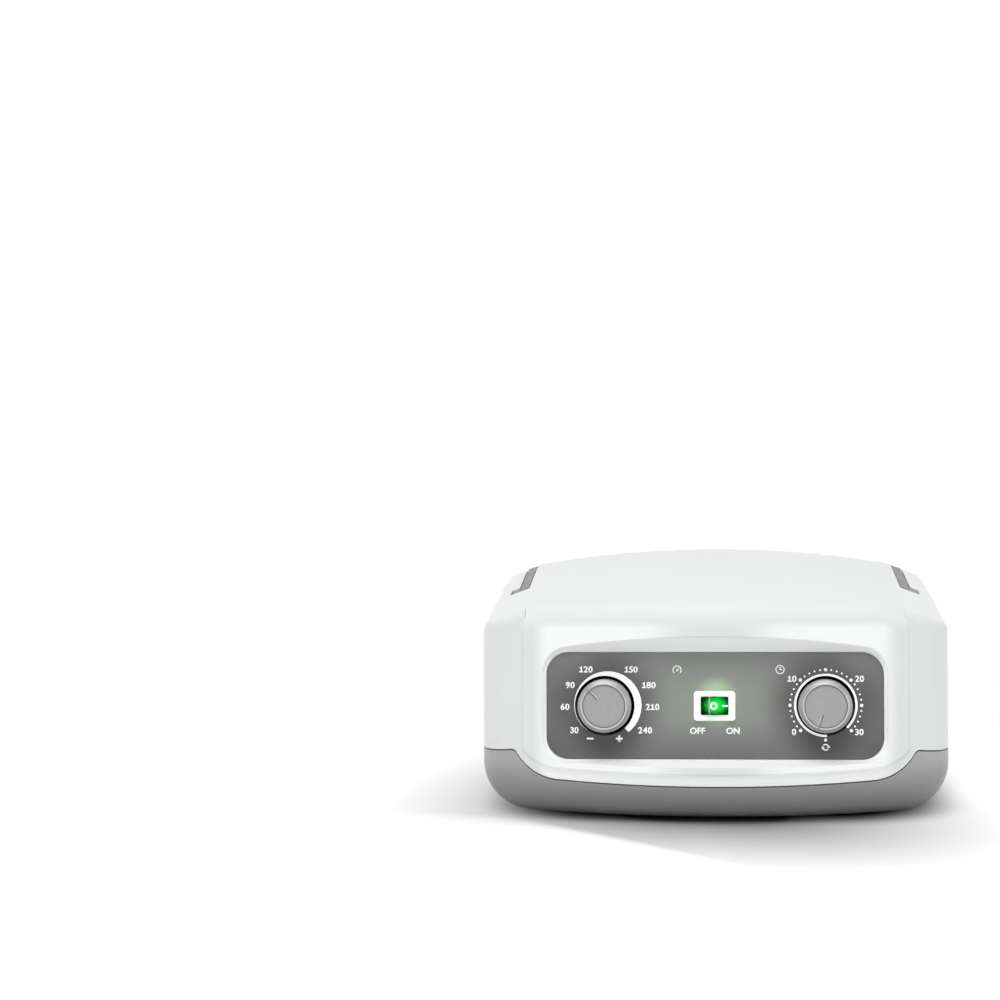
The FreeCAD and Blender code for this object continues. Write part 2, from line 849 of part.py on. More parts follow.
def make_band_form():
    """The raised band over front, roof and rear, chamfered along its sides and its lower edge."""
    body = new_body("band_form")
    add_walls(body, band_steps, size.foot_height)
    cut_roof(body, crown_section(size.crown_front_height, size.crown_front_radius),
             crown_section(size.crown_middle_height, size.crown_middle_radius),
             crown_section(size.crown_rear_height, size.crown_rear_radius))

    def is_brow(edge):
        box = edge.BoundBox
        across = box.XLength > size.crown_reach.value * 1.9
        return across and box.ZMin > size.form_height.value / 2

    add_fillet(body, is_brow, size.brow_radius)
    outside = new_sketch(body, "XZ_Plane", "band_form_outside")
    start, middle, finish, upper, lower = seam_points(size.band_lip)
    half = size.band_half_width
    top = size.form_height * 2
    along = root(lower * lower - (half - finish[0]) * (half - finish[0]))
    side_height = finish[1] + lower - along
    reach = finish[0]
    dip = (reach * reach + size.seam_sag * size.seam_sag) / (2 * size.seam_sag)
    draw_polygon(outside, [(-far, -top), (far, -top), (far, top), (-far, top)])
    draw_path(outside, [
        (-half, side_height, lower), (-finish[0], finish[1], dip), (finish[0], finish[1], lower),
        (half, side_height, None), (half, top - size.wall, None), (-half, top - size.wall, None)])
    add_pocket(body, outside, far * 2, both_ways=True)

    def is_side_edge(edge):
        box = edge.BoundBox
        on_side = min(abs(box.XMin), abs(box.XMax)) > half.value - 0.01 and box.XLength < 0.01
        is_lower = box.ZMax < side_height.value + 0.01 and box.ZMin > size.seam_middle_height.value
        depth_edge = box.YLength > size.case_depth.value * 0.6 and not box.ZMax > side_height.value + 1
        flat_corner = abs(box.XMin) > half.value - 0.01 and depth_edge
        return (on_side or is_lower) and not depth_edge and not flat_corner

    add_fillet(body, is_side_edge, size.band_chamfer, "Chamfer")
    return body


# Places on the control panel: u to the right, v up the panel, w out of its face

panel_y = (front_edge - size.band_step + size.panel_setback
           + (size.panel_centre_height - size.foot_height) * tangent(size.front_lean))
panel_z = size.panel_centre_height
panel_tilt = 90 - size.front_lean


def place_on_panel(thing, u=0, v=0, w=0):
    """Stand an object on the panel: its own X is u, its Y is v and its Z is w."""
    u, v, w = (as_size(number) for number in (u, v, w))
    lean = size.front_lean
    y = panel_y + v * sine(lean) - w * cosine(lean)
    z = panel_z + v * cosine(lean) + w * sine(lean)
    return place(thing, u, y, z, axis=(1, 0, 0), angle=panel_tilt)


# Simple solids

def new_box(name, x0, y0, z0, x1, y1, z1):
    """A box between two corners."""
    x0, y0, z0, x1, y1, z1 = (as_size(number) for number in (x0, y0, z0, x1, y1, z1))
    box = document.addObject("Part::Box", name)
    bind(box, "Length", x1 - x0)
    bind(box, "Width", y1 - y0)
    bind(box, "Height", z1 - z0)
    return place(box, x0, y0, z0)


AXES = {"x": ((0, 1, 0), 90), "-x": ((0, 1, 0), -90), "y": ((1, 0, 0), -90), "-y": ((1, 0, 0), 90),
        "z": ((0, 0, 1), 0), "-z": ((1, 0, 0), 180)}


def new_rod(name, x, y, z, radius, length, way="z"):
    """A cylinder from a point, along an axis."""
    rod = document.addObject("Part::Cylinder", name)
    bind(rod, "Radius", radius)
    bind(rod, "Height", length)
    axis, angle = AXES[way]
    return place(rod, x, y, z, axis, angle)


def new_turned(label, points):
    """A solid turned about its own Z axis from a half profile of (radius, height) points."""
    body = new_body(label)
    sketch = new_sketch(body, "XZ_Plane", f"{label}_profile")
    draw_polygon(sketch, points)
    add_revolution(body, sketch)
    return body


def new_plate(label, draw, thickness, plane="XY_Plane", offset=0):
    """A body padded from whatever draw(sketch) draws."""
    body = new_body(label)
    sketch = new_sketch(body, plane, f"{label}_outline", offset)
    draw(sketch)
    add_pad(body, sketch, thickness)
    return body


# Control panel recess

panel_half = size.panel_width / 2
panel_rise = size.panel_height / 2


def outline_at(body, offset, side, top, bottom, corner):
    """The panel's outline grown at its sides, top and bottom, in a sketch at the given w."""
    sketch = new_sketch(body, "XY_Plane", f"{body.Name}_outline", offset)
    draw_rounded_rectangle(
        sketch, -panel_half - side, -panel_rise - bottom, panel_half + side, panel_rise + top, corner)
    return sketch


def make_recess(label, grow, floor):
    """The flared recess in front of the panel as a solid, grown all round and reaching back to floor."""
    body = new_body(f"{label}_flare")
    margin = size.recess_margin + grow
    inner = outline_at(body, -size.recess_mouth_lead - grow, margin, margin, margin,
                       size.panel_corner + margin)
    mouth = outline_at(body, size.recess_mouth_distance, margin + size.recess_side_flare,
                       margin + size.recess_top_flare, margin + size.recess_bottom_flare,
                       size.recess_mouth_corner)
    add_loft(body, "Additive", [inner, mouth], True)
    seat = new_body(f"{label}_seat")
    gap = size.panel_gap + grow
    outline = outline_at(seat, floor, gap, gap, gap, size.panel_corner + gap)
    add_pad(seat, outline, -floor)
    place_on_panel(body)
    place_on_panel(seat)
    return combine("MultiFuse", label, [body, seat])


# Handle well

arm_outer = size.handle_arm_inner + size.handle_arm_width
pivot_y = size.handle_pivot_setback
pivot_z = size.handle_pivot_height
boss_outer = arm_outer + size.handle_boss_reach


def make_handle_well(label, grow):
    """The room that the folded handle lies in, grown all round."""
    gap = size.handle_gap + grow
    sky = size.form_height + size.wall
    front = pivot_y - size.handle_lug_radius - size.handle_slot_lead - grow
    arm_floor = size.handle_arm_bottom - gap
    lug_floor = pivot_z - size.handle_lug_radius - gap
    lug_back = pivot_y + size.handle_lug_radius * 2 + grow
    boss = size.handle_boss_radius + gap
    pieces = [new_box(f"{label}_rear", -far, size.handle_well_front - grow, size.handle_well_floor - grow,
                      far, far, sky)]
    for side in (-1, 1):
        low, high = size.handle_arm_inner - gap, arm_outer + gap
        tip = boss_outer + gap
        spans = [(low, high, front, far, arm_floor, f"{label}_arm"),
                 (low, high, front, lug_back, lug_floor, f"{label}_lug"),
                 (low, tip, front, pivot_y + boss, pivot_z - boss, f"{label}_boss")]
        for near, distant, start, finish, floor, name in spans:
            x0, x1 = (near, distant) if side > 0 else (-distant, -near)
            pieces.append(new_box(name, x0, start, floor, x1, finish, sky))
    return combine("MultiFuse", label, pieces)


def make_handle():
    """The folding carry handle: two arms with round lugs, joined by a grip along the rear."""
    blank = new_body("handle_blank")
    side = new_sketch(blank, "YZ_Plane", "handle_side_view")
    lug = size.handle_lug_radius
    arm_bottom = size.handle_arm_bottom
    drop = pivot_z - arm_bottom
    lug_back = pivot_y + root(lug * lug - drop * drop)
    draw_path(side, [
        (pivot_y, pivot_z + lug, lug), (pivot_y - lug, pivot_z, lug),
        (pivot_y, pivot_z - lug, lug), (lug_back, arm_bottom, None),
        (size.handle_well_front, arm_bottom + size.handle_rear_rise, None),
        (size.handle_grip_front, size.handle_grip_bottom, None),
        (far, size.handle_grip_bottom, None), (far, size.handle_grip_top, None),
        (size.handle_grip_front, size.handle_grip_top, None),
        (size.handle_well_front, size.handle_arm_top, None)])
    add_pad(blank, side, arm_outer * 2, both_ways=True)
    window = new_sketch(blank, "XY_Plane", "handle_window")
    half = size.handle_arm_inner
    corner = size.handle_grip_corner
    draw_path(window, [
        (-half, -far, None), (half, -far, None), (half, size.handle_grip_front - corner, corner),
        (half - corner, size.handle_grip_front, None), (corner - half, size.handle_grip_front, corner),
        (-half, size.handle_grip_front - corner, None)])
    add_pocket(blank, window, far * 4, both_ways=True)
    limit = new_body("handle_limit")
    add_walls(limit, lambda front, rear: plan_steps(size.handle_rear_inset, front, rear), size.foot_height)
    cut_cheeks(limit, -size.wall)
    pieces = [combine("MultiCommon", "handle_arms_and_grip", [blank, limit])]
    for way in (-1, 1):
        name = "handle_boss_left" if way < 0 else "handle_boss_right"
        inside = size.handle_arm_inner + size.handle_arm_width / 2
        reach = boss_outer - inside
        pieces.append(new_rod(name, way * inside, pivot_y, pivot_z, size.handle_boss_radius, reach,
                              "x" if way > 0 else "-x"))
    joined = combine("MultiFuse", "handle_joined", pieces)
    bore = size.handle_pin_radius + size.pin_running_gap
    hole = new_rod("handle_bore", -far, pivot_y, pivot_z, bore, far * 2, "x")
    return cut("carry_handle", joined, hole)


def make_handle_pins():
    """The two pins that the handle turns on, held in the walls of the well."""
    start = size.handle_arm_inner - size.handle_gap - size.wall
    length = boss_outer + size.handle_gap + size.wall - start
    left = new_rod("pin_left", -start, pivot_y, pivot_z, size.handle_pin_radius, length, "-x")
    right = new_rod("pin_right", start, pivot_y, pivot_z, size.handle_pin_radius, length, "x")
    return combine("Compound", "handle_pins", [left, right])


# Rear bay

def make_bay(label, grow):
    bay = size.bay_half_width + grow
    return new_box(label, -bay, size.bay_setback - grow, size.bay_bottom - grow, bay, far,
                   size.bay_top + grow)


post_places = [(side, y) for side in (-size.post_side, size.post_side)
               for y in (-size.post_front, size.post_rear)]
foot_places = [(side, y) for side in (-size.foot_side, size.foot_side)
               for y in (-size.foot_front, size.foot_rear)]


def make_rods(label, places, z, radius, length, way="z"):
    rods = [new_rod(f"{label}_{index}", x, y, z, radius, length, way)
            for index, (x, y) in enumerate(places, start=1)]
    return combine("MultiFuse", label, rods)


def make_case():
    """Upper shell and base tray, cut from one outer form along the seam."""
    outer = combine("MultiFuse", "case_outer", [make_case_form(), make_band_form()])
    cavity = make_case_cavity()
    above = make_seam_cutter("seam_above", size.seam_gap / 2, True)
    below = make_seam_cutter("seam_below", -size.seam_gap / 2, False)
    upper = combine("MultiCommon", "upper_outer", [outer, above])
    lower = combine("MultiCommon", "lower_outer", [outer, below])
    skin = cut("upper_skin", upper, cavity)
    posts = make_rods("shell_posts", post_places, size.post_top, size.post_radius,
                      size.cheek_front_height - size.post_top)
    backing = combine("MultiFuse", "shell_backing", [
        make_recess("recess_backing", size.wall, -size.panel_thickness - size.wall),
        make_handle_well("well_backing", size.wall), make_bay("bay_backing", size.wall), posts])
    walls = combine("MultiCommon", "shell_walls", [upper, backing])
    body = combine("MultiFuse", "shell_body", [skin, walls])
    screw_hole = size.screw_radius + size.screw_gap
    bore = size.pin_running_gap / 2 + size.handle_pin_radius
    pin_start = size.handle_arm_inner - size.handle_gap - size.wall
    pin_length = boss_outer + size.handle_gap + size.wall - pin_start
    openings = [
        make_recess("recess_room", 0, -size.panel_thickness),
        make_handle_well("well_room", 0),
        make_bay("bay_room", 0),
        make_rods("post_holes", post_places, size.post_top - size.wall, screw_hole,
                  size.screw_reach + size.wall * 2),
        new_rod("pin_hole_left", -pin_start, pivot_y, pivot_z, bore, pin_length, "-x"),
        new_rod("pin_hole_right", pin_start, pivot_y, pivot_z, bore, pin_length, "x")]
    openings += make_shell_openings()
    upper_shell = cut("upper_shell", body, combine("MultiFuse", "shell_openings", openings))
    tray_skin = cut("tray_skin", lower, cavity)
    floor = size.foot_height + size.wall
    bosses = make_rods("tray_bosses", post_places, floor - size.wall / 2, size.post_radius,
                       size.post_top - size.seam_gap - floor + size.wall / 2)
    tray_body = combine("MultiFuse", "tray_body", [tray_skin, bosses] + make_tray_bosses())
    holes = [
        make_rods("boss_holes", post_places, 0, screw_hole, size.post_top * 2),
        make_rods("boss_counterbores", post_places, 0, size.screw_head_radius + size.screw_gap * 4,
                  size.screw_seat_height),
        make_rods("foot_sockets", foot_places, 0, size.foot_radius + size.screw_gap,
                  size.foot_height + size.foot_socket)]
    holes += make_tray_openings()
    base_tray = cut("base_tray", tray_body, combine("MultiFuse", "tray_holes", holes))
    return upper_shell, base_tray


# Controls on the panel

shell_back = -size.panel_thickness - size.wall
spindle_bore = size.spindle_radius + size.spindle_gap
switch_half_width = size.switch_body_width / 2 + size.switch_cutout_gap
switch_half_height = size.switch_body_height / 2 + size.switch_cutout_gap
knob_places = (-size.knob_side, size.knob_side)


def make_control_panel():
    body = new_body("control_panel")
    outline = outline_at(body, -size.panel_thickness, 0, 0, 0, size.panel_corner)
    add_pad(body, outline, size.panel_thickness)
    wells = new_sketch(body, "XY_Plane", "panel_wells")
    for u in knob_places:
        draw_circle(wells, u, 0, size.knob_well_radius)
    add_pocket(body, wells, size.knob_well_depth)
    holes = new_sketch(body, "XY_Plane", "panel_holes")
    for u in knob_places:
        draw_circle(holes, u, 0, size.bushing_radius + size.bushing_hole_gap)
    draw_rectangle(holes, -switch_half_width, -switch_half_height, switch_half_width, switch_half_height)
    add_pocket(body, holes, size.panel_thickness * 2)
    return place_on_panel(body)


def make_shell_openings():
    """Holes through the upper shell for the controls, the rear fittings and the intake."""
    holes = []
    for u in knob_places:
        hole = document.addObject("Part::Cylinder", "bushing_hole")
        bind(hole, "Radius", size.bushing_radius + size.bushing_hole_gap)
        bind(hole, "Height", size.panel_thickness + size.wall * 3)
        holes.append(place_on_panel(hole, u, 0, shell_back - size.wall))
    window = new_plate("switch_hole", lambda sketch: draw_rectangle(
        sketch, -switch_half_width, -switch_half_height, switch_half_width, switch_half_height),
        size.wall * 3)
    holes.append(place_on_panel(window, 0, 0, shell_back - size.wall))
    bay_back = size.bay_setback - size.wall * 2
    depth = size.wall * 3
    for x in nipple_places:
        holes.append(new_rod("tail_hole", x, bay_back, size.outlet_height,
                             size.nipple_tail_radius + size.bushing_hole_gap, depth, "y"))
    inlet_x = size.inlet_body_width / 2 + size.switch_cutout_gap
    inlet_z = size.inlet_body_height / 2 + size.switch_cutout_gap
    holes.append(new_box("inlet_hole", size.inlet_centre - inlet_x, bay_back, size.inlet_height - inlet_z,
                         size.inlet_centre + inlet_x, bay_back + depth, size.inlet_height + inlet_z))
    holes.append(new_rod("fuse_hole", size.fuse_centre, bay_back, size.fuse_height,
                         size.fuse_body_radius + size.bushing_hole_gap, depth, "y"))
    for x, z in rear_screw_places:
        holes.append(new_rod("rear_screw_hole", x, bay_back, z,
                             size.inlet_screw_radius + size.screw_gap, depth, "y"))
    return holes


def make_knob(label, u):
    height = size.knob_height
    seat = height - size.knob_disc_sink - size.knob_disc_thickness
    rim = size.knob_disc_radius + size.spindle_gap
    bore_top = size.spindle_reach + size.switch_cutout_gap
    knob = new_turned(label, [
        (0, bore_top), (spindle_bore, bore_top), (spindle_bore, size.knob_hollow_height),
        (size.knob_hollow_radius, size.knob_hollow_height), (size.knob_hollow_radius, -size.knob_skirt),
        (size.knob_radius, -size.knob_skirt), (size.knob_top_radius, height - size.knob_bevel_height),
        (size.knob_bevel_radius, height), (rim, height), (rim, seat), (0, seat)])
    return place_on_panel(knob, u)


def make_knob_disc(label, u, angle):
    """The satin disc in the knob's face, with the pointer groove at its angle from u."""
    seat = size.knob_height - size.knob_disc_sink - size.knob_disc_thickness
    body = new_body(label)
    outline = new_sketch(body, "XY_Plane", f"{label}_outline", seat)
    draw_circle(outline, 0, 0, size.knob_disc_radius)
    add_pad(body, outline, size.knob_disc_thickness)
    groove = new_sketch(body, "XY_Plane", f"{label}_pointer", seat + size.knob_disc_thickness)
    half = size.pointer_width / 2
    along_u, along_v = cosine(angle), sine(angle)
    corners = [(size.pointer_inner, -half), (size.knob_radius, -half), (size.knob_radius, half),
               (size.pointer_inner, half)]
    draw_polygon(groove, [(r * along_u - t * along_v, r * along_v + t * along_u) for r, t in corners])
    add_pocket(body, groove, size.pointer_depth)
    return place_on_panel(body, u)


def make_spindle(label, u):
    rod = document.addObject("Part::Cylinder", label)
    rod.Label = label
    start = shell_back - size.spindle_depth
    bind(rod, "Radius", size.spindle_radius)
    bind(rod, "Height", size.spindle_reach - start)
    return place_on_panel(rod, u, 0, start)


def make_nut(label, u):
    def draw(sketch):
        draw_polygon(sketch, [(size.nut_radius * math.cos(math.radians(60 * corner)),
                               size.nut_radius * math.sin(math.radians(60 * corner)))
                              for corner in range(6)])
        draw_circle(sketch, 0, 0, size.bushing_radius + size.nut_bore_gap)

    nut = new_plate(label, draw, size.nut_thickness, offset=-size.knob_well_depth)
    return place_on_panel(nut, u)


def make_pressure_valve():
    """The regulating valve behind the panel: threaded bushing, bored body and a nipple at its back."""
    back = shell_back - size.valve_length
    bottom = shell_back - size.spindle_depth - size.switch_cutout_gap
    tail = back - size.valve_nipple_length
    valve = new_turned("pressure_valve", [
        (0, bottom), (spindle_bore, bottom), (spindle_bore, size.bushing_reach),
        (size.bushing_radius, size.bushing_reach), (size.bushing_radius, shell_back),
        (size.valve_radius, shell_back), (size.valve_radius, back), (size.valve_nipple_radius, back),
        (size.valve_nipple_radius, tail), (size.valve_nipple_bore, tail),
        (size.valve_nipple_bore, back + size.wall), (0, back + size.wall)])
    return place_on_panel(valve, -size.knob_side)


def make_timer():
    """The clockwork timer: a square case with a threaded bushing."""
    body = new_body("timer_case")
    back = shell_back - size.timer_length
    half = size.timer_width / 2
    case = new_sketch(body, "XY_Plane", "timer_outline", back)
    draw_rounded_rectangle(case, -half, -half, half, half, size.timer_corner)
    add_pad(body, case, size.timer_length)
    bushing = new_sketch(body, "XY_Plane", "timer_bushing", shell_back)
    draw_circle(bushing, 0, 0, size.bushing_radius)
    add_pad(body, bushing, size.bushing_reach - shell_back)
    bore = new_sketch(body, "XY_Plane", "timer_bore", size.bushing_reach)
    draw_circle(bore, 0, 0, spindle_bore)
    add_pocket(body, bore, size.bushing_reach - shell_back + size.spindle_depth + size.switch_cutout_gap)
    return place_on_panel(body, size.knob_side)


def make_tabs(label, u, back, count):
    """Flat connection tabs on the back of a timer or switch."""
    body = new_body(label)
    outline = new_sketch(body, "XY_Plane", f"{label}_outline", back)
    for index in range(count):
        x = size.tab_spacing / count * (index - (count - 1) / 2) * 2
        draw_rectangle(outline, x - size.tab_thickness / 2, -size.tab_width / 2,
                       x + size.tab_thickness / 2, size.tab_width / 2)
    add_pad(body, outline, size.tab_length, backwards=True)
    return place_on_panel(body, u)


# Rocker switch

rocker_pivot = size.switch_flange - size.rocker_pivot_depth
switch_floor = -size.switch_opening_depth


def make_switch_housing():
    body = new_body("switch_housing")
    flange = new_sketch(body, "XY_Plane", "switch_flange")
    half_w, half_h = size.switch_width / 2, size.switch_height / 2
    draw_rounded_rectangle(flange, -half_w, -half_h, half_w, half_h, size.switch_corner)
    add_pad(body, flange, size.switch_flange)
    block = new_sketch(body, "XY_Plane", "switch_block", -size.switch_body_depth)
    half_w, half_h = size.switch_body_width / 2, size.switch_body_height / 2
    draw_rectangle(block, -half_w, -half_h, half_w, half_h)
    add_pad(body, block, size.switch_body_depth)
    opening = new_sketch(body, "XY_Plane", "switch_opening", size.switch_flange)
    half_w, half_h = size.switch_opening_width / 2, size.switch_opening_height / 2
    draw_rectangle(opening, -half_w, -half_h, half_w, half_h)
    add_pocket(body, opening, size.switch_flange - switch_floor)
    lamp = new_sketch(body, "XY_Plane", "switch_lamp_seat", switch_floor)
    draw_circle(lamp, 0, 0, size.lamp_radius + size.lamp_gap)
    add_pocket(body, lamp, size.lamp_length + size.lamp_gap)
    axle = new_sketch(body, "XZ_Plane", "switch_axle_holes")
    draw_circle(axle, 0, rocker_pivot, size.rocker_axle_radius + size.rocker_axle_gap)
    add_pocket(body, axle, size.rocker_axle_length + size.rocker_axle_gap * 4, both_ways=True)
    return place_on_panel(body)


def make_switch_rocker():
    """The rocker: a sector with a raised end, on a short axle."""
    body = new_body("switch_rocker")
    reach = size.rocker_reach
    end = size.rocker_end_height
    tip = root(reach * reach - end * end)
    bottom = size.rocker_bottom_side
    depth = root(reach * reach - bottom * bottom)
    profile = new_sketch(body, "XZ_Plane", "rocker_profile")
    draw_path(profile, [
        (-bottom, rocker_pivot - depth, None), (bottom, rocker_pivot - depth, reach),
        (tip, rocker_pivot + end, None),
        (-size.rocker_ridge_side, rocker_pivot + size.rocker_ridge_height, None),
        (-tip, rocker_pivot + end, reach)])
    add_pad(body, profile, size.rocker_width, both_ways=True)
    axle = new_sketch(body, "XZ_Plane", "rocker_axle")
    draw_circle(axle, 0, rocker_pivot, size.rocker_axle_radius)
    add_pad(body, axle, size.rocker_axle_length, both_ways=True)
    return place_on_panel(body)


def make_switch_lamp():
    lamp = document.addObject("Part::Cylinder", "switch_lamp")
    bind(lamp, "Radius", size.lamp_radius)
    bind(lamp, "Height", size.lamp_length)
    return place_on_panel(lamp, 0, 0, switch_floor - size.lamp_gap - size.lamp_length)


# Rear fittings

nipple_places = [size.outlet_centre + size.nipple_pitch * (index - (SIZES["nipple_count"] - 1) / 2)
                 for index in range(SIZES["nipple_count"])]
outlet_half = size.outlet_width / 2
rear_screw_places = [
    (size.outlet_centre + way * (outlet_half - size.outlet_corner), size.outlet_height) for way in (-1, 1)]
rear_screw_places += [
    (size.inlet_centre + way * size.inlet_screw_spacing / 2, size.inlet_height) for way in (-1, 1)]
flange_front = size.bay_setback + size.outlet_thickness


def rear_sketch(body, name, y):
    """A sketch upright at y: its own x is X and its own y is Z."""
    return new_sketch(body, "XZ_Plane", f"{body.Name}_{name}", -as_size(y))


def add_screw_holes(body, centre_range):
    holes = rear_sketch(body, "screw_holes", size.bay_setback - size.wall)
    for x, z in centre_range:
        draw_circle(holes, x, z, size.inlet_screw_radius + size.screw_gap)
    add_pocket(body, holes, size.wall * 4)


def make_outlet_block():
    """The air outlet: a flange with a row of bored nipples outside and hose tails inside."""
    body = new_body("outlet_block")
    flange = rear_sketch(body, "flange", size.bay_setback)
    half_height = size.outlet_depth / 2
    draw_rounded_rectangle(
        flange, size.outlet_centre - outlet_half, size.outlet_height - half_height,
        size.outlet_centre + outlet_half, size.outlet_height + half_height, size.outlet_corner)
    add_pad(body, flange, size.outlet_thickness, backwards=True)
    rows = (("nipples", flange_front, size.nipple_radius, size.nipple_length, True),
            ("tails", size.bay_setback, size.nipple_tail_radius, size.wall + size.nipple_tail_length, False))
    for name, y, radius, length, outwards in rows:
        sketch = rear_sketch(body, name, y)
        for x in nipple_places:
            draw_circle(sketch, x, size.outlet_height, radius)
        add_pad(body, sketch, length, backwards=outwards)
    bores = rear_sketch(body, "bores", size.bay_setback - size.wall * 2 - size.nipple_tail_length)
    for x in nipple_places:
        draw_circle(bores, x, size.outlet_height, size.nipple_bore)
    add_pocket(body, bores, size.nipple_length + size.nipple_tail_length + size.wall * 5)
    add_screw_holes(body, rear_screw_places[:2])
    return body


def make_power_inlet():
    """The mains inlet: a flanged socket, open to the rear."""
    body = new_body("power_inlet")
    x, z = size.inlet_centre, size.inlet_height
    flange = rear_sketch(body, "flange", size.bay_setback)
    half_w, half_h = size.inlet_flange_width / 2, size.inlet_flange_height / 2
    draw_rounded_rectangle(flange, x - half_w, z - half_h, x + half_w, z + half_h, size.outlet_corner)
    add_pad(body, flange, size.inlet_flange_thickness, backwards=True)
    block = rear_sketch(body, "block", size.bay_setback)
    half_w, half_h = size.inlet_body_width / 2, size.inlet_body_height / 2
    draw_rectangle(block, x - half_w, z - half_h, x + half_w, z + half_h)
    add_pad(body, block, size.inlet_body_depth)
    mouth = rear_sketch(body, "mouth", inlet_floor)
    half_w, half_h = size.inlet_mouth_width / 2, size.inlet_mouth_height / 2
    draw_rectangle(mouth, x - half_w, z - half_h, x + half_w, z + half_h)
    add_pocket(body, mouth, size.inlet_mouth_depth + size.wall)
    add_screw_holes(body, rear_screw_places[2:])
    return body


inlet_floor = size.bay_setback + size.inlet_flange_thickness - size.inlet_mouth_depth


def make_inlet_blades():
    """Three contact blades in the socket and their three tabs behind it."""
    blades = []
    for way in (-1, 0, 1):
        x = size.inlet_centre + way * size.blade_spacing
        z = size.inlet_height + (size.blade_thickness if way == 0 else -size.blade_thickness)
        half_x, half_z = size.blade_thickness / 2, size.blade_width / 2
        back = size.bay_setback - size.inlet_body_depth
        blades.append(new_box("blade", x - half_x, inlet_floor, z - half_z,
                              x + half_x, inlet_floor + size.blade_length, z + half_z))
        blades.append(new_box("blade_tab", x - half_x, back - size.tab_length, z - half_z,
                              x + half_x, back, z + half_z))
    return combine("Compound", "inlet_blades", blades)


def make_screws(label, places, y, head_radius, head_height, shank_radius, shank_length):
    """Screws driven in from the rear, heads against the plane at y."""
    screws = []
    for x, z in places:
        head = new_rod("screw_head", x, y, z, head_radius, head_height, "y")
        shank = new_rod("screw_shank", x, y, z, shank_radius, shank_length, "-y")
        screws.append(combine("MultiFuse", "rear_screw", [head, shank]))
    return combine("Compound", label, screws)


def make_fuse_parts():
    """Fuse holder, its cap and the glass fuse in it."""
    bore = size.fuse_radius + size.screw_gap
    flange = size.bay_setback + size.panel_thickness / 2
    back = size.bay_setback - size.fuse_body_length
    fuse_start = back + size.wall
    holder = combine("MultiFuse", "fuse_holder_solid", [
        new_rod("fuse_body", size.fuse_centre, back, size.fuse_height, size.fuse_body_radius,
                size.fuse_body_length, "y"),
        new_rod("fuse_flange", size.fuse_centre, size.bay_setback, size.fuse_height, size.fuse_cap_radius,
                flange - size.bay_setback, "y")])
    room = new_rod("fuse_room", size.fuse_centre, fuse_start, size.fuse_height, bore, far, "y")
    fuse_holder = cut("fuse_holder", holder, room)
    fuse = new_rod("fuse", size.fuse_centre, fuse_start, size.fuse_height, size.fuse_radius,
                   size.fuse_length, "y")
    plug_start = fuse_start + size.fuse_length
    cap = combine("MultiFuse", "fuse_cap_solid", [
        new_rod("fuse_cap_plug", size.fuse_centre, plug_start, size.fuse_height, size.fuse_radius,
                flange - plug_start + size.wall / 2, "y"),
        new_rod("fuse_cap_head", size.fuse_centre, flange, size.fuse_height,
                size.fuse_cap_radius - size.screw_gap * 6, size.fuse_cap_length, "y")])
    slot = size.fuse_cap_radius
    half = size.tab_thickness / 2
    top = flange + size.fuse_cap_length
    groove = new_box("fuse_cap_slot", size.fuse_centre - slot, top - size.tab_thickness,
                     size.fuse_height - half, size.fuse_centre + slot, top + half, size.fuse_height + half)
    return fuse_holder, cut("fuse_cap", cap, groove), fuse


# Case fixings

def make_case_screws():
    screws = []
    for x, y in post_places:
        seat = size.screw_seat_height
        head = new_rod("case_screw_head", x, y, seat, size.screw_head_radius, size.screw_head_height, "-z")
        shank = new_rod("case_screw_shank", x, y, seat, size.screw_radius,
                        size.post_top + size.screw_reach - seat)
        screws.append(combine("MultiFuse", "case_screw", [head, shank]))
    return combine("Compound", "case_screws", screws)


def make_feet():
    feet = [new_rod("foot", x, y, 0, size.foot_radius, size.foot_height + size.foot_socket)
            for x, y in foot_places]
    return combine("Compound", "rubber_feet", feet)


# Compressor: an armature with magnets swings between two coils and drives a diaphragm at each end

deck = size.foot_height + size.wall
frame_bottom = deck + size.isolator_height
frame_top = frame_bottom + size.frame_thickness
frame_end = size.frame_length / 2
armature_z = frame_top + size.armature_height
pump_x, pump_y = size.compressor_x, size.compressor_y
core_near = size.armature_width / 2 + size.magnet_thickness + size.magnet_gap
core_far = core_near + size.core_leg_length + size.core_back
diaphragm_play = size.armature_stroke + size.stroke_clearance


def make_compressor_frame():
    """Base plate, two end plates with round windows, and a pedestal under each core."""
    half_length, half_width = frame_end, size.frame_width / 2
    half_end = size.frame_end_width / 2
    pieces = [new_box("frame_plate", pump_x - half_length, pump_y - half_width, frame_bottom,
                      pump_x + half_length, pump_y + half_width, frame_top)]
    for way in (-1, 1):
        near, distant = frame_end - size.frame_thickness, frame_end
        x0, x1 = (near, distant) if way > 0 else (-distant, -near)
        pieces.append(new_box("frame_end", pump_x + x0, pump_y - half_end, frame_top,
                              pump_x + x1, pump_y + half_end, frame_top + size.frame_end_height))
        y0, y1 = (core_near, core_far) if way > 0 else (-core_far, -core_near)
        pieces.append(new_box("core_pedestal", pump_x - size.core_length / 2, pump_y + y0, frame_top,
                              pump_x + size.core_length / 2, pump_y + y1,
                              armature_z - size.core_height / 2 - size.coil_thickness - size.coil_gap))
        foot = size.core_leg_width
        for side in (-1, 1):
            x0 = size.core_length / 2 - foot if side > 0 else -size.core_length / 2
            pieces.append(new_box("core_foot", pump_x + x0, pump_y + y0, frame_top, pump_x + x0 + foot,
                                  pump_y + y1, armature_z - size.core_height / 2))
    window = new_rod("frame_window", pump_x - frame_end * 2, pump_y, armature_z,
                     size.frame_window_radius, frame_end * 4, "x")
    return cut("compressor_frame", combine("MultiFuse", "frame_solid", pieces), window)


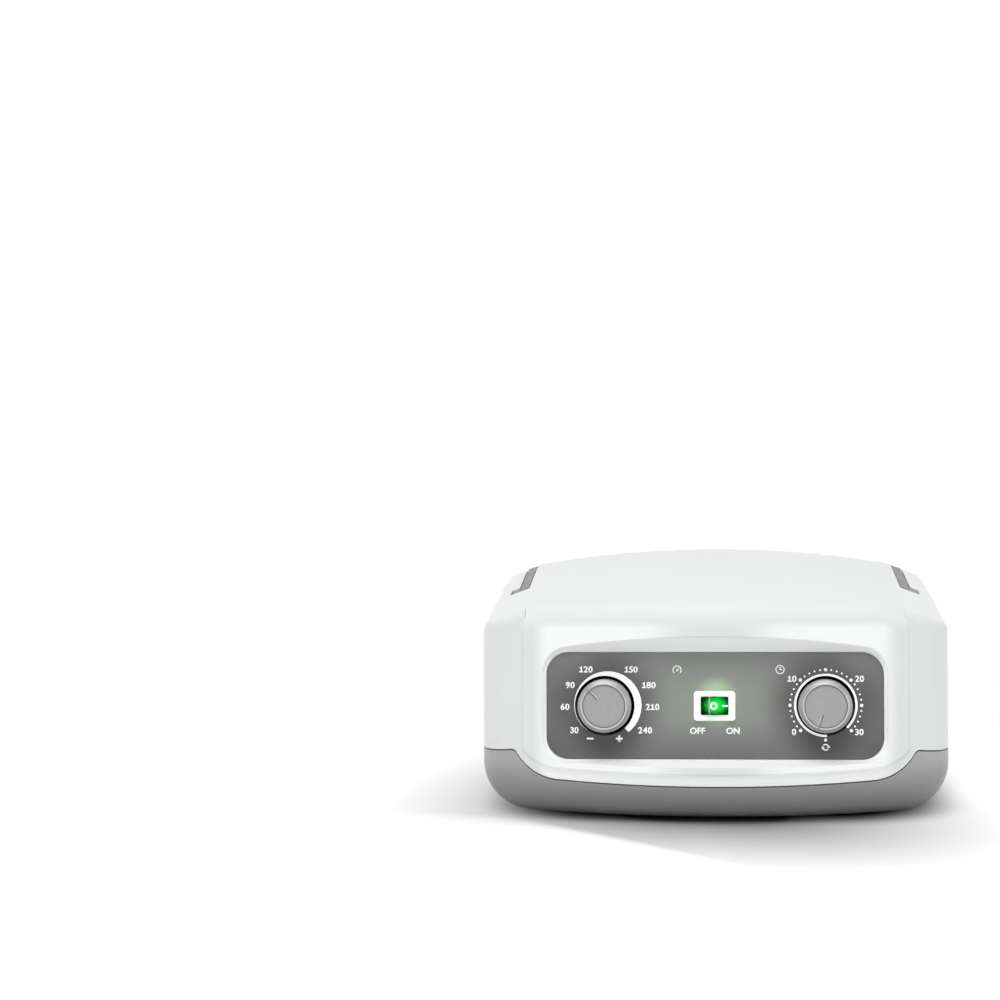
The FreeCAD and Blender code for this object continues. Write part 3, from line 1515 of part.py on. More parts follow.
def make_isolators():
    """Four rubber mounts between the tray and the compressor."""
    x = frame_end - size.isolator_radius
    y = size.frame_width / 2 - size.isolator_radius
    return combine("Compound", "compressor_mounts", [
        new_rod("isolator", pump_x + way * x, pump_y + side * y, deck, size.isolator_radius,
                size.isolator_height) for way in (-1, 1) for side in (-1, 1)])


def make_cores_and_coils():
    cores, coils = [], []
    half = size.core_length / 2
    leg = size.core_leg_width
    bottom = armature_z - size.core_height / 2
    coil_half = half - leg - size.coil_gap
    wrap = size.coil_thickness + size.coil_gap
    for way, side in ((-1, "front"), (1, "rear")):
        core = new_body(f"core_{side}")
        outline = new_sketch(core, "XY_Plane", f"core_{side}_outline", bottom)
        near, back, distant = (way * core_near, way * (core_far - size.core_back), way * core_far)
        draw_polygon(outline, [
            (pump_x - half, pump_y + near), (pump_x - half + leg, pump_y + near),
            (pump_x - half + leg, pump_y + back), (pump_x + half - leg, pump_y + back),
            (pump_x + half - leg, pump_y + near), (pump_x + half, pump_y + near),
            (pump_x + half, pump_y + distant), (pump_x - half, pump_y + distant)])
        add_pad(core, outline, size.core_height)
        cores.append(core)
        low, high = (back, distant) if way > 0 else (distant, back)
        outer = new_box(f"coil_{side}_outer", pump_x - coil_half, pump_y + low - wrap, bottom - wrap,
                        pump_x + coil_half, pump_y + high + wrap, bottom + size.core_height + wrap)
        gap = size.coil_gap
        inner = new_box(f"coil_{side}_inner", pump_x - half, pump_y + low - gap, bottom - gap,
                        pump_x + half, pump_y + high + gap, bottom + size.core_height + gap)
        coils.append(cut(f"coil_{side}", outer, inner))
    return (combine("Compound", "magnet_cores", cores), combine("Compound", "drive_coils", coils))


def make_armature():
    half = size.armature_length / 2
    bar = new_box("armature_plate", pump_x - half, pump_y - size.armature_width / 2,
                  armature_z - size.armature_depth / 2, pump_x + half,
                  pump_y + size.armature_width / 2, armature_z + size.armature_depth / 2)
    reach = frame_end + diaphragm_play
    rods = [new_rod("armature_rod", pump_x, pump_y, armature_z, size.armature_rod_radius, reach, way)
            for way in ("x", "-x")]
    return combine("MultiFuse", "armature", [bar] + rods)


def make_magnets():
    magnets = []
    half_z = size.armature_depth / 2
    for way in (-1, 1):
        for side in (-1, 1):
            centre = pump_x + way * size.magnet_spacing / 2
            y0 = size.armature_width / 2 if side > 0 else -size.armature_width / 2 - size.magnet_thickness
            magnets.append(new_box("magnet", centre - size.magnet_length / 2, pump_y + y0,
                                   armature_z - half_z, centre + size.magnet_length / 2,
                                   pump_y + y0 + size.magnet_thickness, armature_z + half_z))
    return combine("Compound", "armature_magnets", magnets)


def make_diaphragm(label, way):
    start = frame_end + diaphragm_play
    step = "x" if way > 0 else "-x"
    x = pump_x + way * start
    disc = new_rod(f"{label}_disc", x, pump_y, armature_z, size.diaphragm_radius,
                   size.diaphragm_thickness, step)
    hub = new_rod(f"{label}_hub", x, pump_y, armature_z, size.diaphragm_hub_radius,
                  size.diaphragm_thickness + size.diaphragm_hub_length, step)
    return combine("MultiFuse", label, [disc, hub])


def make_head(label, way):
    """A valve chamber that closes one end of the compressor, with its nipple on top."""
    step = "x" if way > 0 else "-x"
    x = pump_x + way * frame_end
    rim_depth = size.diaphragm_thickness + diaphragm_play * 2
    nipple_x = x + way * size.head_length / 2
    block = combine("MultiFuse", f"{label}_solid", [
        new_rod(f"{label}_block", x, pump_y, armature_z, size.head_radius, size.head_length, step),
        new_rod(f"{label}_nipple", nipple_x, pump_y, armature_z + size.frame_window_radius,
                size.head_nipple_radius, nipple_top - armature_z - size.frame_window_radius)])
    room = combine("MultiFuse", f"{label}_room", [
        new_rod(f"{label}_rim", x, pump_y, armature_z, size.diaphragm_radius + size.diaphragm_gap,
                rim_depth, step),
        new_rod(f"{label}_chamber", x, pump_y, armature_z, size.head_room_radius,
                rim_depth + size.head_room_depth - size.diaphragm_hub_length / 2, step),
        new_rod(f"{label}_port", nipple_x, pump_y, armature_z, size.head_nipple_bore, far)])
    return cut(label, block, room)


nipple_top = armature_z + size.head_radius + size.head_nipple_length


# Air distributor: a slotted rotor on a slow gear motor opens the ports one after another

hub_x, hub_y = size.distributor_x, size.distributor_y
motor_bottom = deck + size.motor_stand
motor_top = motor_bottom + size.motor_height
cup_top = motor_top + size.cup_height
ported_top = cup_top + size.ported_thickness
port_top = ported_top + size.port_length
port_offset = size.port_circle / math.sqrt(2)
port_places = [(hub_x + way * port_offset, hub_y + side * port_offset) for side in (1, -1) for way in (-1, 1)]


def make_distributor():
    motor = new_rod("gear_motor", hub_x, hub_y, motor_bottom, size.motor_radius, size.motor_height)
    shaft = new_rod("rotor_shaft", hub_x, hub_y, motor_top, size.gear_shaft_radius, size.gear_shaft_length)
    cup_room = combine("MultiFuse", "cup_room", [
        new_rod("cup_inside", hub_x, hub_y, motor_top + size.cup_wall,
                size.cup_radius - size.cup_wall, size.cup_height),
        new_rod("cup_shaft_hole", hub_x, hub_y, motor_bottom, size.gear_shaft_radius + size.cup_shaft_gap,
                size.motor_height * 2)])
    cup = cut("distributor_cup", new_rod("cup_solid", hub_x, hub_y, motor_top, size.cup_radius,
                                         size.cup_height), cup_room)
    rotor_bottom = cup_top - size.rotor_clearance - size.rotor_thickness
    slot_start = size.port_circle - size.rotor_slot_length / 2
    rotor_room = combine("MultiFuse", "rotor_room", [
        new_rod("rotor_bore", hub_x, hub_y, rotor_bottom - size.wall,
                size.gear_shaft_radius + size.cup_shaft_gap, size.rotor_thickness + size.wall * 2),
        new_box("rotor_slot", hub_x + slot_start, hub_y - size.rotor_slot_width / 2,
                rotor_bottom - size.wall, hub_x + slot_start + size.rotor_slot_length,
                hub_y + size.rotor_slot_width / 2, cup_top)])
    rotor = cut("distributor_rotor", new_rod("rotor_disc", hub_x, hub_y, rotor_bottom,
                                             size.rotor_radius, size.rotor_thickness), rotor_room)
    places = [(hub_x, hub_y)] + port_places
    ported = combine("MultiFuse", "ported_solid", [
        new_rod("ported_disc", hub_x, hub_y, cup_top, size.cup_radius, size.ported_thickness),
        make_rods("ported_nipples", places, ported_top, size.port_radius, size.port_length)])
    bores = make_rods("ported_bores", places, motor_top, size.port_bore, port_top)
    return motor, shaft, cup, rotor, cut("ported_plate", ported, bores)


# Electronics

board_half_x, board_half_y = size.board_length / 2, size.board_width / 2
board_corners = [(size.board_x + way * (board_half_x - size.board_margin),
                  size.board_y + side * (board_half_y - size.board_margin))
                 for way in (-1, 1) for side in (-1, 1)]
board_top = size.board_height + size.board_thickness


def make_board():
    body = new_body("main_board")
    outline = new_sketch(body, "XY_Plane", "board_outline", size.board_height)
    draw_rectangle(outline, size.board_x - board_half_x, size.board_y - board_half_y,
                   size.board_x + board_half_x, size.board_y + board_half_y)
    for x, y in board_corners:
        draw_circle(outline, x, y, size.board_screw_radius + size.screw_gap)
    add_pad(body, outline, size.board_thickness)
    return body


def make_board_screws():
    screws = []
    for x, y in board_corners:
        head = new_rod("board_screw_head", x, y, board_top, size.board_screw_head, size.board_screw_radius)
        shank = new_rod("board_screw_shank", x, y, board_top, size.board_screw_radius,
                        size.board_thickness + size.board_margin, "-z")
        screws.append(combine("MultiFuse", "board_screw", [head, shank]))
    return combine("Compound", "board_screws", screws)


def on_board(name, x, y, length, width, bottom, height):
    """A block centred at a place on the board."""
    return new_box(name, x - length / 2, y - width / 2, bottom, x + length / 2, y + width / 2,
                   bottom + height)


def make_board_parts():
    """Transformer, relay, capacitors and terminal block, all standing on the board."""
    left = size.board_x - board_half_x
    x, y = left + size.transformer_length * 0.7, size.board_y
    core = size.transformer_core
    transformer = combine("MultiFuse", "transformer", [
        on_board("transformer_core", x, y, size.transformer_length, size.transformer_width, board_top,
                 size.transformer_height),
        on_board("transformer_winding", x, y, size.transformer_length - core,
                 size.transformer_width + core, board_top, size.transformer_height - core / 2)])
    relay_x = x + (size.transformer_length + size.relay_length + core) / 2
    relay_y = size.board_y + board_half_y - size.relay_width
    relay = on_board("relay", relay_x, relay_y, size.relay_length, size.relay_width, board_top,
                     size.relay_height)
    block_x = size.board_x + board_half_x - size.terminal_width - size.board_margin / 2
    terminal = on_board("terminal_block", block_x, size.board_y, size.terminal_width,
                        size.terminal_length, board_top, size.terminal_height)
    capacitor_y = size.board_y - board_half_y + size.capacitor_radius * 2
    pitch = size.capacitor_radius * 2 + size.board_margin / 2
    capacitors = combine("Compound", "capacitors", [
        new_rod("capacitor", relay_x + pitch * offset, capacitor_y, board_top, size.capacitor_radius,
                size.capacitor_height) for offset in (-0.5, 0.5)])
    return transformer, relay, terminal, capacitors


def make_tray_bosses():
    """Board standoffs and the pedestal of the gear motor."""
    floor = deck - size.wall / 2
    return [make_rods("board_standoffs", board_corners, floor, size.standoff_radius,
                      size.board_height - floor),
            new_rod("motor_pedestal", hub_x, hub_y, floor, size.motor_pedestal_radius,
                    motor_bottom - floor)]


def make_tray_openings():
    """Screw holes in the standoffs and the ring of air inlet holes."""
    angles = [2 * math.pi * index / SIZES["intake_hole_count"] for index in range(SIZES["intake_hole_count"])]
    circle = size.intake_hole_circle
    ring = [(intake_x + circle * math.cos(a), intake_y + circle * math.sin(a)) for a in angles]
    return [make_rods("standoff_holes", board_corners, size.board_height - size.board_margin,
                      size.board_screw_radius + size.screw_gap / 2, size.board_margin * 2),
            make_rods("intake_holes", ring, 0, size.intake_hole_radius, deck * 2)]


intake_x = size.intake_side
intake_y = size.intake_rear


def make_intake_filter():
    return new_rod("intake_filter", intake_x, intake_y, deck, size.intake_radius, size.intake_depth * 2)


# Air lines: runs joined by tangent arcs

def make_line(label, points):
    """A hose along the points, each corner an arc that takes 0.45 of the shorter run beside it."""
    route = [Vector(*(as_size(number).value for number in point)) for point in points]
    edges = []
    radii = []
    start = route[0]
    for before, corner, after in zip(route, route[1:], route[2:]):
        back = (before - corner).normalize()
        onward = (after - corner).normalize()
        half_turn = (math.pi - back.getAngle(onward)) / 2
        trim = 0.45 * min(before.distanceToPoint(corner), after.distanceToPoint(corner))
        bend = trim / math.tan(half_turn)
        radii.append(round(bend, 1))
        entry = corner + back * trim
        leave = corner + onward * trim
        inward = (back + onward).normalize()
        middle = corner + inward * (bend / math.cos(half_turn) - bend)
        edges.append(Part.LineSegment(start, entry).toShape())
        edges.append(Part.Arc(entry, middle, leave).toShape())
        start = leave
    edges.append(Part.LineSegment(start, route[-1]).toShape())
    wire = Part.Wire(edges)
    heading = route[1] - route[0]
    solids = []
    for radius in (size.line_radius.value, size.line_bore.value):
        ring = Part.Wire([Part.Circle(route[0], heading, radius).toShape()])
        solids.append(wire.makePipeShell([ring], True, True))
    area = math.pi * size.line_radius.value ** 2
    share = solids[0].Volume / (area * wire.Length)
    if abs(share - 1) > 0.01:
        raise RuntimeError(f"{label}: hose volume is {share:.3f} of section times length")
    print(f"{label}: {wire.Length:.1f} mm long, bends of radius {radii}")
    line = document.addObject("Part::Feature", label)
    line.Label = label
    line.Shape = solids[0].cut(solids[1])
    return line


def make_lines():
    """Supply line, pressure line and the four outlet lines."""
    right_x = pump_x + frame_end + size.head_length / 2
    left_x = pump_x - frame_end - size.head_length / 2
    supply = make_line("supply_line", [
        (right_x, pump_y, nipple_top), (right_x, pump_y, size.supply_level),
        (hub_x, hub_y, size.supply_level), (hub_x, hub_y, port_top)])
    tail = shell_back - size.valve_length - size.valve_nipple_length
    lean = size.front_lean
    valve_y = panel_y - tail * cosine(lean)
    valve_z = panel_z + tail * sine(lean)
    run = size.line_straight * 2
    rise = nipple_top + run * 1.3
    bleed = make_line("pressure_line", [
        (left_x, pump_y, nipple_top), (left_x, pump_y, rise),
        (-size.knob_side, valve_y + run * cosine(lean), rise),
        (-size.knob_side, valve_y + run * cosine(lean), valve_z - run * sine(lean)),
        (-size.knob_side, valve_y, valve_z)])
    tail_y = size.bay_setback - size.wall - size.nipple_tail_length
    lines = []
    for index, (x, y) in enumerate(port_places):
        level = size.line_level_low + size.line_level_step * index
        target = nipple_places[-1 - index]
        lines.append(make_line(f"outlet_line_{index + 1}", [
            (x, y, port_top), (x, y, level), (target, y, level),
            (target, tail_y - size.line_straight, size.outlet_height),
            (target, tail_y, size.outlet_height)]))
    return supply, bleed, combine("Compound", "outlet_lines", lines)


def list_nodes():
    """Every sub-part of the pump, as objects whose Label is the node's name."""
    upper_shell, base_tray = make_case()
    knobs = []
    for name, u, angle in (("pressure", -size.knob_side, size.pressure_pointer_angle),
                           ("time", size.knob_side, size.time_pointer_angle)):
        knobs += [make_knob(f"{name}_knob", u), make_knob_disc(f"{name}_knob_disc", u, angle),
                  make_spindle(f"{name}_spindle", u), make_nut(f"{name}_nut", u)]
    timer_back = shell_back - size.timer_length
    switch_back = -size.switch_body_depth
    small_screw = (size.inlet_screw_head, size.inlet_screw_radius, size.inlet_screw_radius,
                   size.nipple_tail_length)
    return [
        upper_shell, base_tray, make_control_panel(), make_handle(), make_handle_pins(),
        make_feet(), make_case_screws(), *knobs, make_pressure_valve(), make_timer(),
        make_tabs("timer_tabs", size.knob_side, timer_back, 2),
        make_switch_housing(), make_switch_rocker(), make_switch_lamp(),
        make_tabs("switch_tabs", 0, switch_back, 3),
        make_outlet_block(), make_screws("outlet_screws", rear_screw_places[:2], flange_front, *small_screw),
        make_power_inlet(), make_inlet_blades(),
        make_screws("inlet_screws", rear_screw_places[2:], flange_front, *small_screw),
        *make_fuse_parts(), make_intake_filter(),
        make_compressor_frame(), make_isolators(), *make_cores_and_coils(), make_armature(),
        make_magnets(), make_diaphragm("diaphragm_left", -1), make_diaphragm("diaphragm_right", 1),
        make_head("pump_head_left", -1), make_head("pump_head_right", 1),
        *make_distributor(), make_board(), make_board_screws(), *make_board_parts(), *make_lines()]


def export_nodes(parts):
    """Check every object and write each sub-part to its own file."""
    document.recompute()
    for thing in document.Objects:
        if "Invalid" in thing.State or "Error" in thing.State:
            raise RuntimeError(f"{thing.Label} failed: {thing.State}")
    for part in parts:
        if part.Shape.isNull() or not part.Shape.isValid() or not part.Shape.Solids:
            raise RuntimeError(f"{part.Label} has no valid shape")
    os.makedirs("parts", exist_ok=True)
    for part in parts:
        part.Shape.exportStep(f"parts/{part.Label}.step")
        print(f"{part.Label}: {len(part.Shape.Solids)} solids, {part.Shape.Volume / 1000:.2f} cm3")


export_nodes(list_nodes())
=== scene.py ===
"""Looks of the compression therapy pump: finishes, printed dial graphics, light and camera."""
import json
import math

import bmesh
import bpy
from mathutils import Matrix, Vector


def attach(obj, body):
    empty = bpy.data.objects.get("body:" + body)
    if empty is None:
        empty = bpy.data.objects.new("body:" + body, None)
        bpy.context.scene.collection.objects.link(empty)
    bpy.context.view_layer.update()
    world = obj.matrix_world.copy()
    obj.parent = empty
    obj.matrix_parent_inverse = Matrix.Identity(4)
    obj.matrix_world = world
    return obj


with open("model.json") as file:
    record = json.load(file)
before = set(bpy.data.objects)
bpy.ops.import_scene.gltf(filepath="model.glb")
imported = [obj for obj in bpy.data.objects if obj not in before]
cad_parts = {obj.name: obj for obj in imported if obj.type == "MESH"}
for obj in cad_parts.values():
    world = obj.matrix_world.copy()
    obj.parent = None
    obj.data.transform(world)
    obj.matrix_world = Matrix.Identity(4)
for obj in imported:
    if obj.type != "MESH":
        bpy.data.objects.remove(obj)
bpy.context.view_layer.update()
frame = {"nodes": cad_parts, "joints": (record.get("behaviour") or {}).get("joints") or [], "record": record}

MM = 0.001
nodes = frame["nodes"]
joints = {joint["name"]: joint for joint in frame["joints"]}


def axes(place, right, up, out):
    """A frame at a place, its three axes along the given directions."""
    return Matrix.Translation(place) @ Matrix((right, up, out)).transposed().to_4x4()


# The panel's own frame: u to the right, v up the panel, w out of its face, all in millimetres
left_axis = Vector(joints["pressure_knob_turn"]["pos_m"])
right_axis = Vector(joints["time_knob_turn"]["pos_m"])
panel_out = Vector(joints["pressure_knob_turn"]["axis"]).normalized()
panel_right = Vector((1, 0, 0))
panel_up = panel_out.cross(panel_right)
panel_centre = (left_axis + right_axis) / 2
panel_frame = axes(panel_centre, panel_right, panel_up, panel_out) @ Matrix.Scale(MM, 4)
knob_side = (right_axis - left_axis).length / 2 / MM


# Node-based finishes

# Place of the ridge across the rocker, in millimetres along u
RIDGE = -2.65

# Noise scales, in waves per metre: broad flow marks and the dull patches that handling leaves
FLOW = 14.0
HANDLING = 45.0


class Finish:
    """A material under construction: a Principled shader and short calls that add nodes to it."""

    def __init__(self, name, metallic=0.0, roughness=0.4, specular=0.5):
        self.material = bpy.data.materials.new(name)
        self.material.use_nodes = True
        self.tree = self.material.node_tree
        self.shader = self.tree.nodes["Principled BSDF"]
        self.set("Metallic", metallic)
        self.set("Roughness", roughness)
        self.set("Specular IOR Level", specular)
        self.place = self.node("ShaderNodeTexCoord").outputs["Object"]

    def set(self, socket, value):
        self.shader.inputs[socket].default_value = value

    def node(self, kind, settings=None, **inputs):
        """Add a node. Its inputs are given by name, or by number as _0, _1 and so on."""
        node = self.tree.nodes.new(kind)
        for name, value in (settings or {}).items():
            setattr(node, name, value)
        for name, value in inputs.items():
            numbered = name[1:].isdigit()
            self.feed(node.inputs[int(name[1:]) if numbered else name.replace("_", " ")], value)
        return node

    def feed(self, socket, value):
        if isinstance(value, bpy.types.NodeSocket):
            self.tree.links.new(value, socket)
        else:
            socket.default_value = value

    def drive(self, socket, value):
        self.feed(self.shader.inputs[socket], value)

    def math(self, operation, first, second=0.0, third=0.0):
        settings = {"operation": operation}
        return self.node("ShaderNodeMath", settings, _0=first, _1=second, _2=third).outputs[0]

    def noise(self, scale, detail=2.0, roughness=0.5, place=None):
        texture = self.node("ShaderNodeTexNoise", Vector=place or self.place, Scale=scale,
                            Detail=detail, Roughness=roughness)
        return texture.outputs["Fac"]

    def ramp(self, value, low, high, start=0.0, finish=1.0, smooth=True):
        settings = {"interpolation_type": "SMOOTHSTEP" if smooth else "LINEAR"}
        return self.node("ShaderNodeMapRange", settings, Value=value, From_Min=low, From_Max=high,
                         To_Min=start, To_Max=finish).outputs["Result"]

    def mix(self, factor, first, second):
        settings = {"data_type": "RGBA"}
        return self.node("ShaderNodeMix", settings, _0=factor, _6=first, _7=second).outputs[2]

    def position(self):
        """x, y and z of the surface in metres, in the frame at rest."""
        return self.node("ShaderNodeSeparateXYZ", _0=self.place).outputs

    def on_panel(self):
        """u, v and w of the surface in millimetres, in the panel's own frame."""
        moved = self.node("ShaderNodeVectorMath", {"operation": "SUBTRACT"}, _0=self.place,
                          _1=tuple(panel_centre)).outputs[0]
        ways = [tuple(way / MM) for way in (panel_right, panel_up, panel_out)]
        dots = [self.node("ShaderNodeVectorMath", {"operation": "DOT_PRODUCT"}, _0=moved, _1=way)
                for way in ways]
        return [dot.outputs["Value"] for dot in dots]

    def reach(self, u, v, centre=(0.0, 0.0), radii=(1.0, 1.0)):
        """Distance from a centre, in shares of a radius along u and one along v."""
        across = self.math("DIVIDE", self.math("SUBTRACT", u, centre[0]), radii[0])
        along = self.math("DIVIDE", self.math("SUBTRACT", v, centre[1]), radii[1])
        squares = self.math("MULTIPLY_ADD", across, across, self.math("MULTIPLY", along, along))
        return self.math("SQRT", squares)

    def product(self, *factors):
        result = factors[0]
        for factor in factors[1:]:
            result = self.math("MULTIPLY", result, factor)
        return result

    def knob_radius(self):
        """Distance in millimetres from the axis of the nearer knob."""
        u, v = self.on_panel()[:2]
        return self.reach(self.math("ABSOLUTE", u), v, (knob_side, 0.0))

    def relief(self, height, depth, edge=0.0):
        """Bump of the given depth in metres, over edges rounded by edge metres."""
        bump = self.node("ShaderNodeBump", Height=height, Distance=depth, Strength=1.0)
        if edge:
            rounding = self.node("ShaderNodeBevel", {"samples": 6}, Radius=edge)
            self.feed(bump.inputs["Normal"], rounding.outputs["Normal"])
        self.drive("Normal", bump.outputs["Normal"])


def grey(value, tint=(1.0, 1.0, 1.0)):
    return tuple(value * part for part in tint) + (1.0,)


def scaled(colour, factor):
    """A colour made darker or lighter, its alpha kept."""
    return tuple(min(1.0, part * factor) for part in colour[:3]) + (1.0,)


def moulded_plastic(name, colour, roughness, grain=1400.0, depth=0.01 * MM, spread=0.04):
    """Injection-moulded plastic: fine texture, faint flow shading and small changes of gloss."""
    finish = Finish(name, roughness=roughness)
    flow = finish.noise(FLOW, 3.0)
    darker, lighter = scaled(colour, 1 - spread), scaled(colour, 1 + spread)
    finish.drive("Base Color", finish.mix(flow, darker, lighter))
    fine = finish.noise(grain, 3.0, 0.6)
    handling = finish.noise(HANDLING, 4.0, 0.6)
    finish.drive("Roughness", finish.ramp(handling, 0.3, 0.7, roughness * 0.9, roughness * 1.12))
    finish.relief(fine, depth, 0.35 * MM)
    return finish.material


def metal(name, colour, roughness, stretch=(1.0, 1.0, 1.0), scale=900.0, depth=0.004 * MM):
    """Machined, drawn or plated metal with fine lines or grain."""
    finish = Finish(name, metallic=1.0, roughness=roughness)
    lines = finish.node("ShaderNodeMapping", Vector=finish.place, Scale=stretch).outputs[0]
    fine = finish.noise(scale, 2.0, 0.6, lines)
    patches = finish.ramp(finish.noise(120.0, 3.0), 0.35, 0.7)
    finish.drive("Base Color", finish.mix(patches, scaled(colour, 0.82), colour))
    finish.drive("Roughness", finish.ramp(fine, 0.2, 0.8, roughness * 0.8, roughness * 1.25))
    finish.relief(fine, depth, 0.15 * MM)
    return finish.material


def case_white():
    """Satin white ABS; the recess round the panel is painted lighter, with a faint painted glow, against its
    shade.
    """
    open_whites = (0.79, 0.805, 0.80, 1.0), (0.81, 0.825, 0.82, 1.0)
    recess_painted_light, recess_painted_glow = (0.94, 0.955, 0.95, 1.0), 0.05
    rim, side, top, back = (12.0, 14.5), (84.0, 94.0), (38.0, 44.0), (-3.0, -1.0)
    finish = Finish("case_white", roughness=0.45, specular=0.15)
    u, v, w = finish.on_panel()
    flow = finish.noise(FLOW, 3.0)
    open_face = finish.mix(flow, *open_whites)
    deep = finish.ramp(w, *rim, 1.0, 0.0)
    beside = finish.ramp(finish.math("ABSOLUTE", u), *side, 1.0, 0.0)
    level = finish.ramp(finish.math("ABSOLUTE", v), *top, 1.0, 0.0)
    # Painted light: inside the recess the white is painted lighter and glows faintly
    recess = finish.product(deep, beside, level, finish.ramp(w, *back))
    finish.drive("Base Color", finish.mix(recess, open_face, recess_painted_light))
    finish.set("Emission Color", grey(1.0))
    finish.drive("Emission Strength", finish.math("MULTIPLY", recess, recess_painted_glow))
    fine = finish.noise(900.0, 3.0, 0.6)
    handling = finish.noise(HANDLING, 4.0, 0.6)
    finish.drive("Roughness", finish.ramp(handling, 0.3, 0.7, 0.42, 0.50))
    finish.relief(fine, 0.002 * MM, 0.6 * MM)
    return finish.material


def tray_grey():
    """Satin grey with an eroded texture; painted shade makes it darker towards the foot."""
    finish = Finish("tray_grey", roughness=0.42)
    grain = finish.noise(2600.0, 3.0, 0.6)
    flow = finish.ramp(finish.noise(FLOW, 3.0), 0.0, 1.0, 0.97, 1.03)
    # Painted shade: the grey darkens from the shoulder down to the foot
    foot, shoulder = 5 * MM, 30 * MM
    foot_shade_grey, shoulder_grey = 0.165, 0.38
    painted_shade_rise = finish.ramp(finish.position()[2], foot, shoulder, foot_shade_grey, shoulder_grey, smooth=False)
    finish.drive("Base Color", finish.product(painted_shade_rise, flow))
    finish.drive("Roughness", finish.ramp(grain, 0.3, 0.7, 0.40, 0.46))
    finish.relief(grain, 0.012 * MM, 0.5 * MM)
    return finish.material


def panel_finish():
    """Printed satin panel, mid grey, with painted shade round the knobs, at its ends and towards its
    foot, and knob wells painted near black as shade, a little lighter on their lower left.

    The rocker's lamp spills green on it as painted light: a spot above, a smaller one below and a
    broad haze.
    """
    tint = (0.98, 1.0, 0.98)
    around_knobs = (14.5, 36.0, 0.40, 1.0)
    near_ends = (66.0, 87.0, 1.0, 0.62)
    near_foot = (-27.0, -4.0, 0.58, 1.0)
    well_edge = (-0.25, -0.1)
    finish = Finish("panel_dark", roughness=0.38)
    u, v, w = finish.on_panel()
    fleck = finish.noise(5200.0, 2.0, 0.7)
    printed = finish.mix(fleck, grey(0.280, tint), grey(0.304, tint))
    # Painted shade: darker round the knobs, at the ends and towards the foot
    knob_shade = finish.ramp(finish.knob_radius(), *around_knobs)
    ends = finish.ramp(finish.math("ABSOLUTE", u), *near_ends)
    foot = finish.ramp(v, *near_foot)
    shaded = finish.mix(finish.product(knob_shade, ends, foot), grey(0.0), printed)
    # Painted shade: the knob wells are near black, a little lighter on their lower left
    face = finish.ramp(w, *well_edge)
    inward = finish.math("SUBTRACT", knob_side, finish.math("ABSOLUTE", u))
    lit = finish.ramp(finish.math("ADD", inward, v), -17.0, -6.0, 1.0, 0.0)
    well = finish.mix(lit, grey(0.002), grey(0.055))
    finish.drive("Base Color", finish.mix(face, well, shaded))
    finish.drive("Specular IOR Level", finish.ramp(w, *well_edge, 0.0, 0.28))
    # Painted light: green from the rocker's lamp, as emission on the panel's face
    above = finish.ramp(finish.reach(u, v, (0.6, 7.0), (12.0, 9.5)), 0.2, 1.0, 0.9, 0.0)
    below = finish.ramp(finish.reach(u, v, (1.2, -7.5), (8.0, 5.0)), 0.2, 1.0, 0.35, 0.0)
    haze = finish.ramp(finish.reach(u, v, (0.0, 4.0), (40.0, 28.0)), 0.1, 1.0, 0.14, 0.0)
    finish.drive("Emission Color", finish.mix(face, grey(0.0), (0.16, 0.30, 0.10, 1.0)))
    spots = finish.math("MAXIMUM", above, below)
    finish.drive("Emission Strength", finish.math("ADD", spots, haze))
    finish.relief(fleck, 0.003 * MM, 0.2 * MM)
    return finish.material


def knob_finish():
    """Satin grey knob ring: a painted highlight on the lip round the disc and on the outer rim, with a soft
    slope between.
    """
    lip_rise, lip_fall, rim_start = (10.8, 11.2), (11.55, 12.0), (13.0, 13.3)
    seat_edge = (10.75, 10.95)
    finish = Finish("knob_grey", metallic=0.35, roughness=0.4)
    fine = finish.noise(2400.0, 2.0)
    radius = finish.knob_radius()
    v = finish.on_panel()[1]
    # Painted highlights on the lip round the disc and on the outer rim
    lip = finish.product(finish.ramp(radius, *lip_rise), finish.ramp(radius, *lip_fall, 1.0, 0.0))
    rim = finish.ramp(radius, *rim_start, 0.0, 0.6)
    slope = finish.mix(fine, grey(0.28), grey(0.33))
    seat = finish.mix(finish.ramp(radius, *seat_edge), grey(0.12), slope)
    # Painted highlight, lighter at the bottom of the knob than at its top
    painted_highlight = finish.mix(finish.ramp(v, -11.0, 11.0), grey(0.64), grey(0.42))
    finish.drive("Base Color", finish.mix(finish.math("MAXIMUM", lip, rim), seat, painted_highlight))
    finish.relief(fine, 0.003 * MM, 0.25 * MM)
    return finish.material


def disc_finish():
    """Bead-blasted disc in the knob's face, with a fine sparkle."""
    finish = Finish("disc_satin", metallic=0.3, roughness=0.55)
    sparkle = finish.noise(3600.0, 3.0, 0.75)
    finish.drive("Base Color", finish.mix(finish.ramp(sparkle, 0.36, 0.64), grey(0.30), grey(0.44)))
    finish.drive("Roughness", finish.ramp(sparkle, 0.3, 0.7, 0.46, 0.62))
    finish.relief(sparkle, 0.02 * MM, 0.12 * MM)
    return finish.material


def pointer_finish():
    """Shaded floor of a pointer groove, the same at every angle."""
    finish = Finish("pointer_shade", roughness=0.6)
    fine = finish.noise(3000.0, 2.0)
    finish.drive("Base Color", finish.mix(fine, grey(0.26), grey(0.32)))
    finish.relief(fine, 0.005 * MM)
    return finish.material


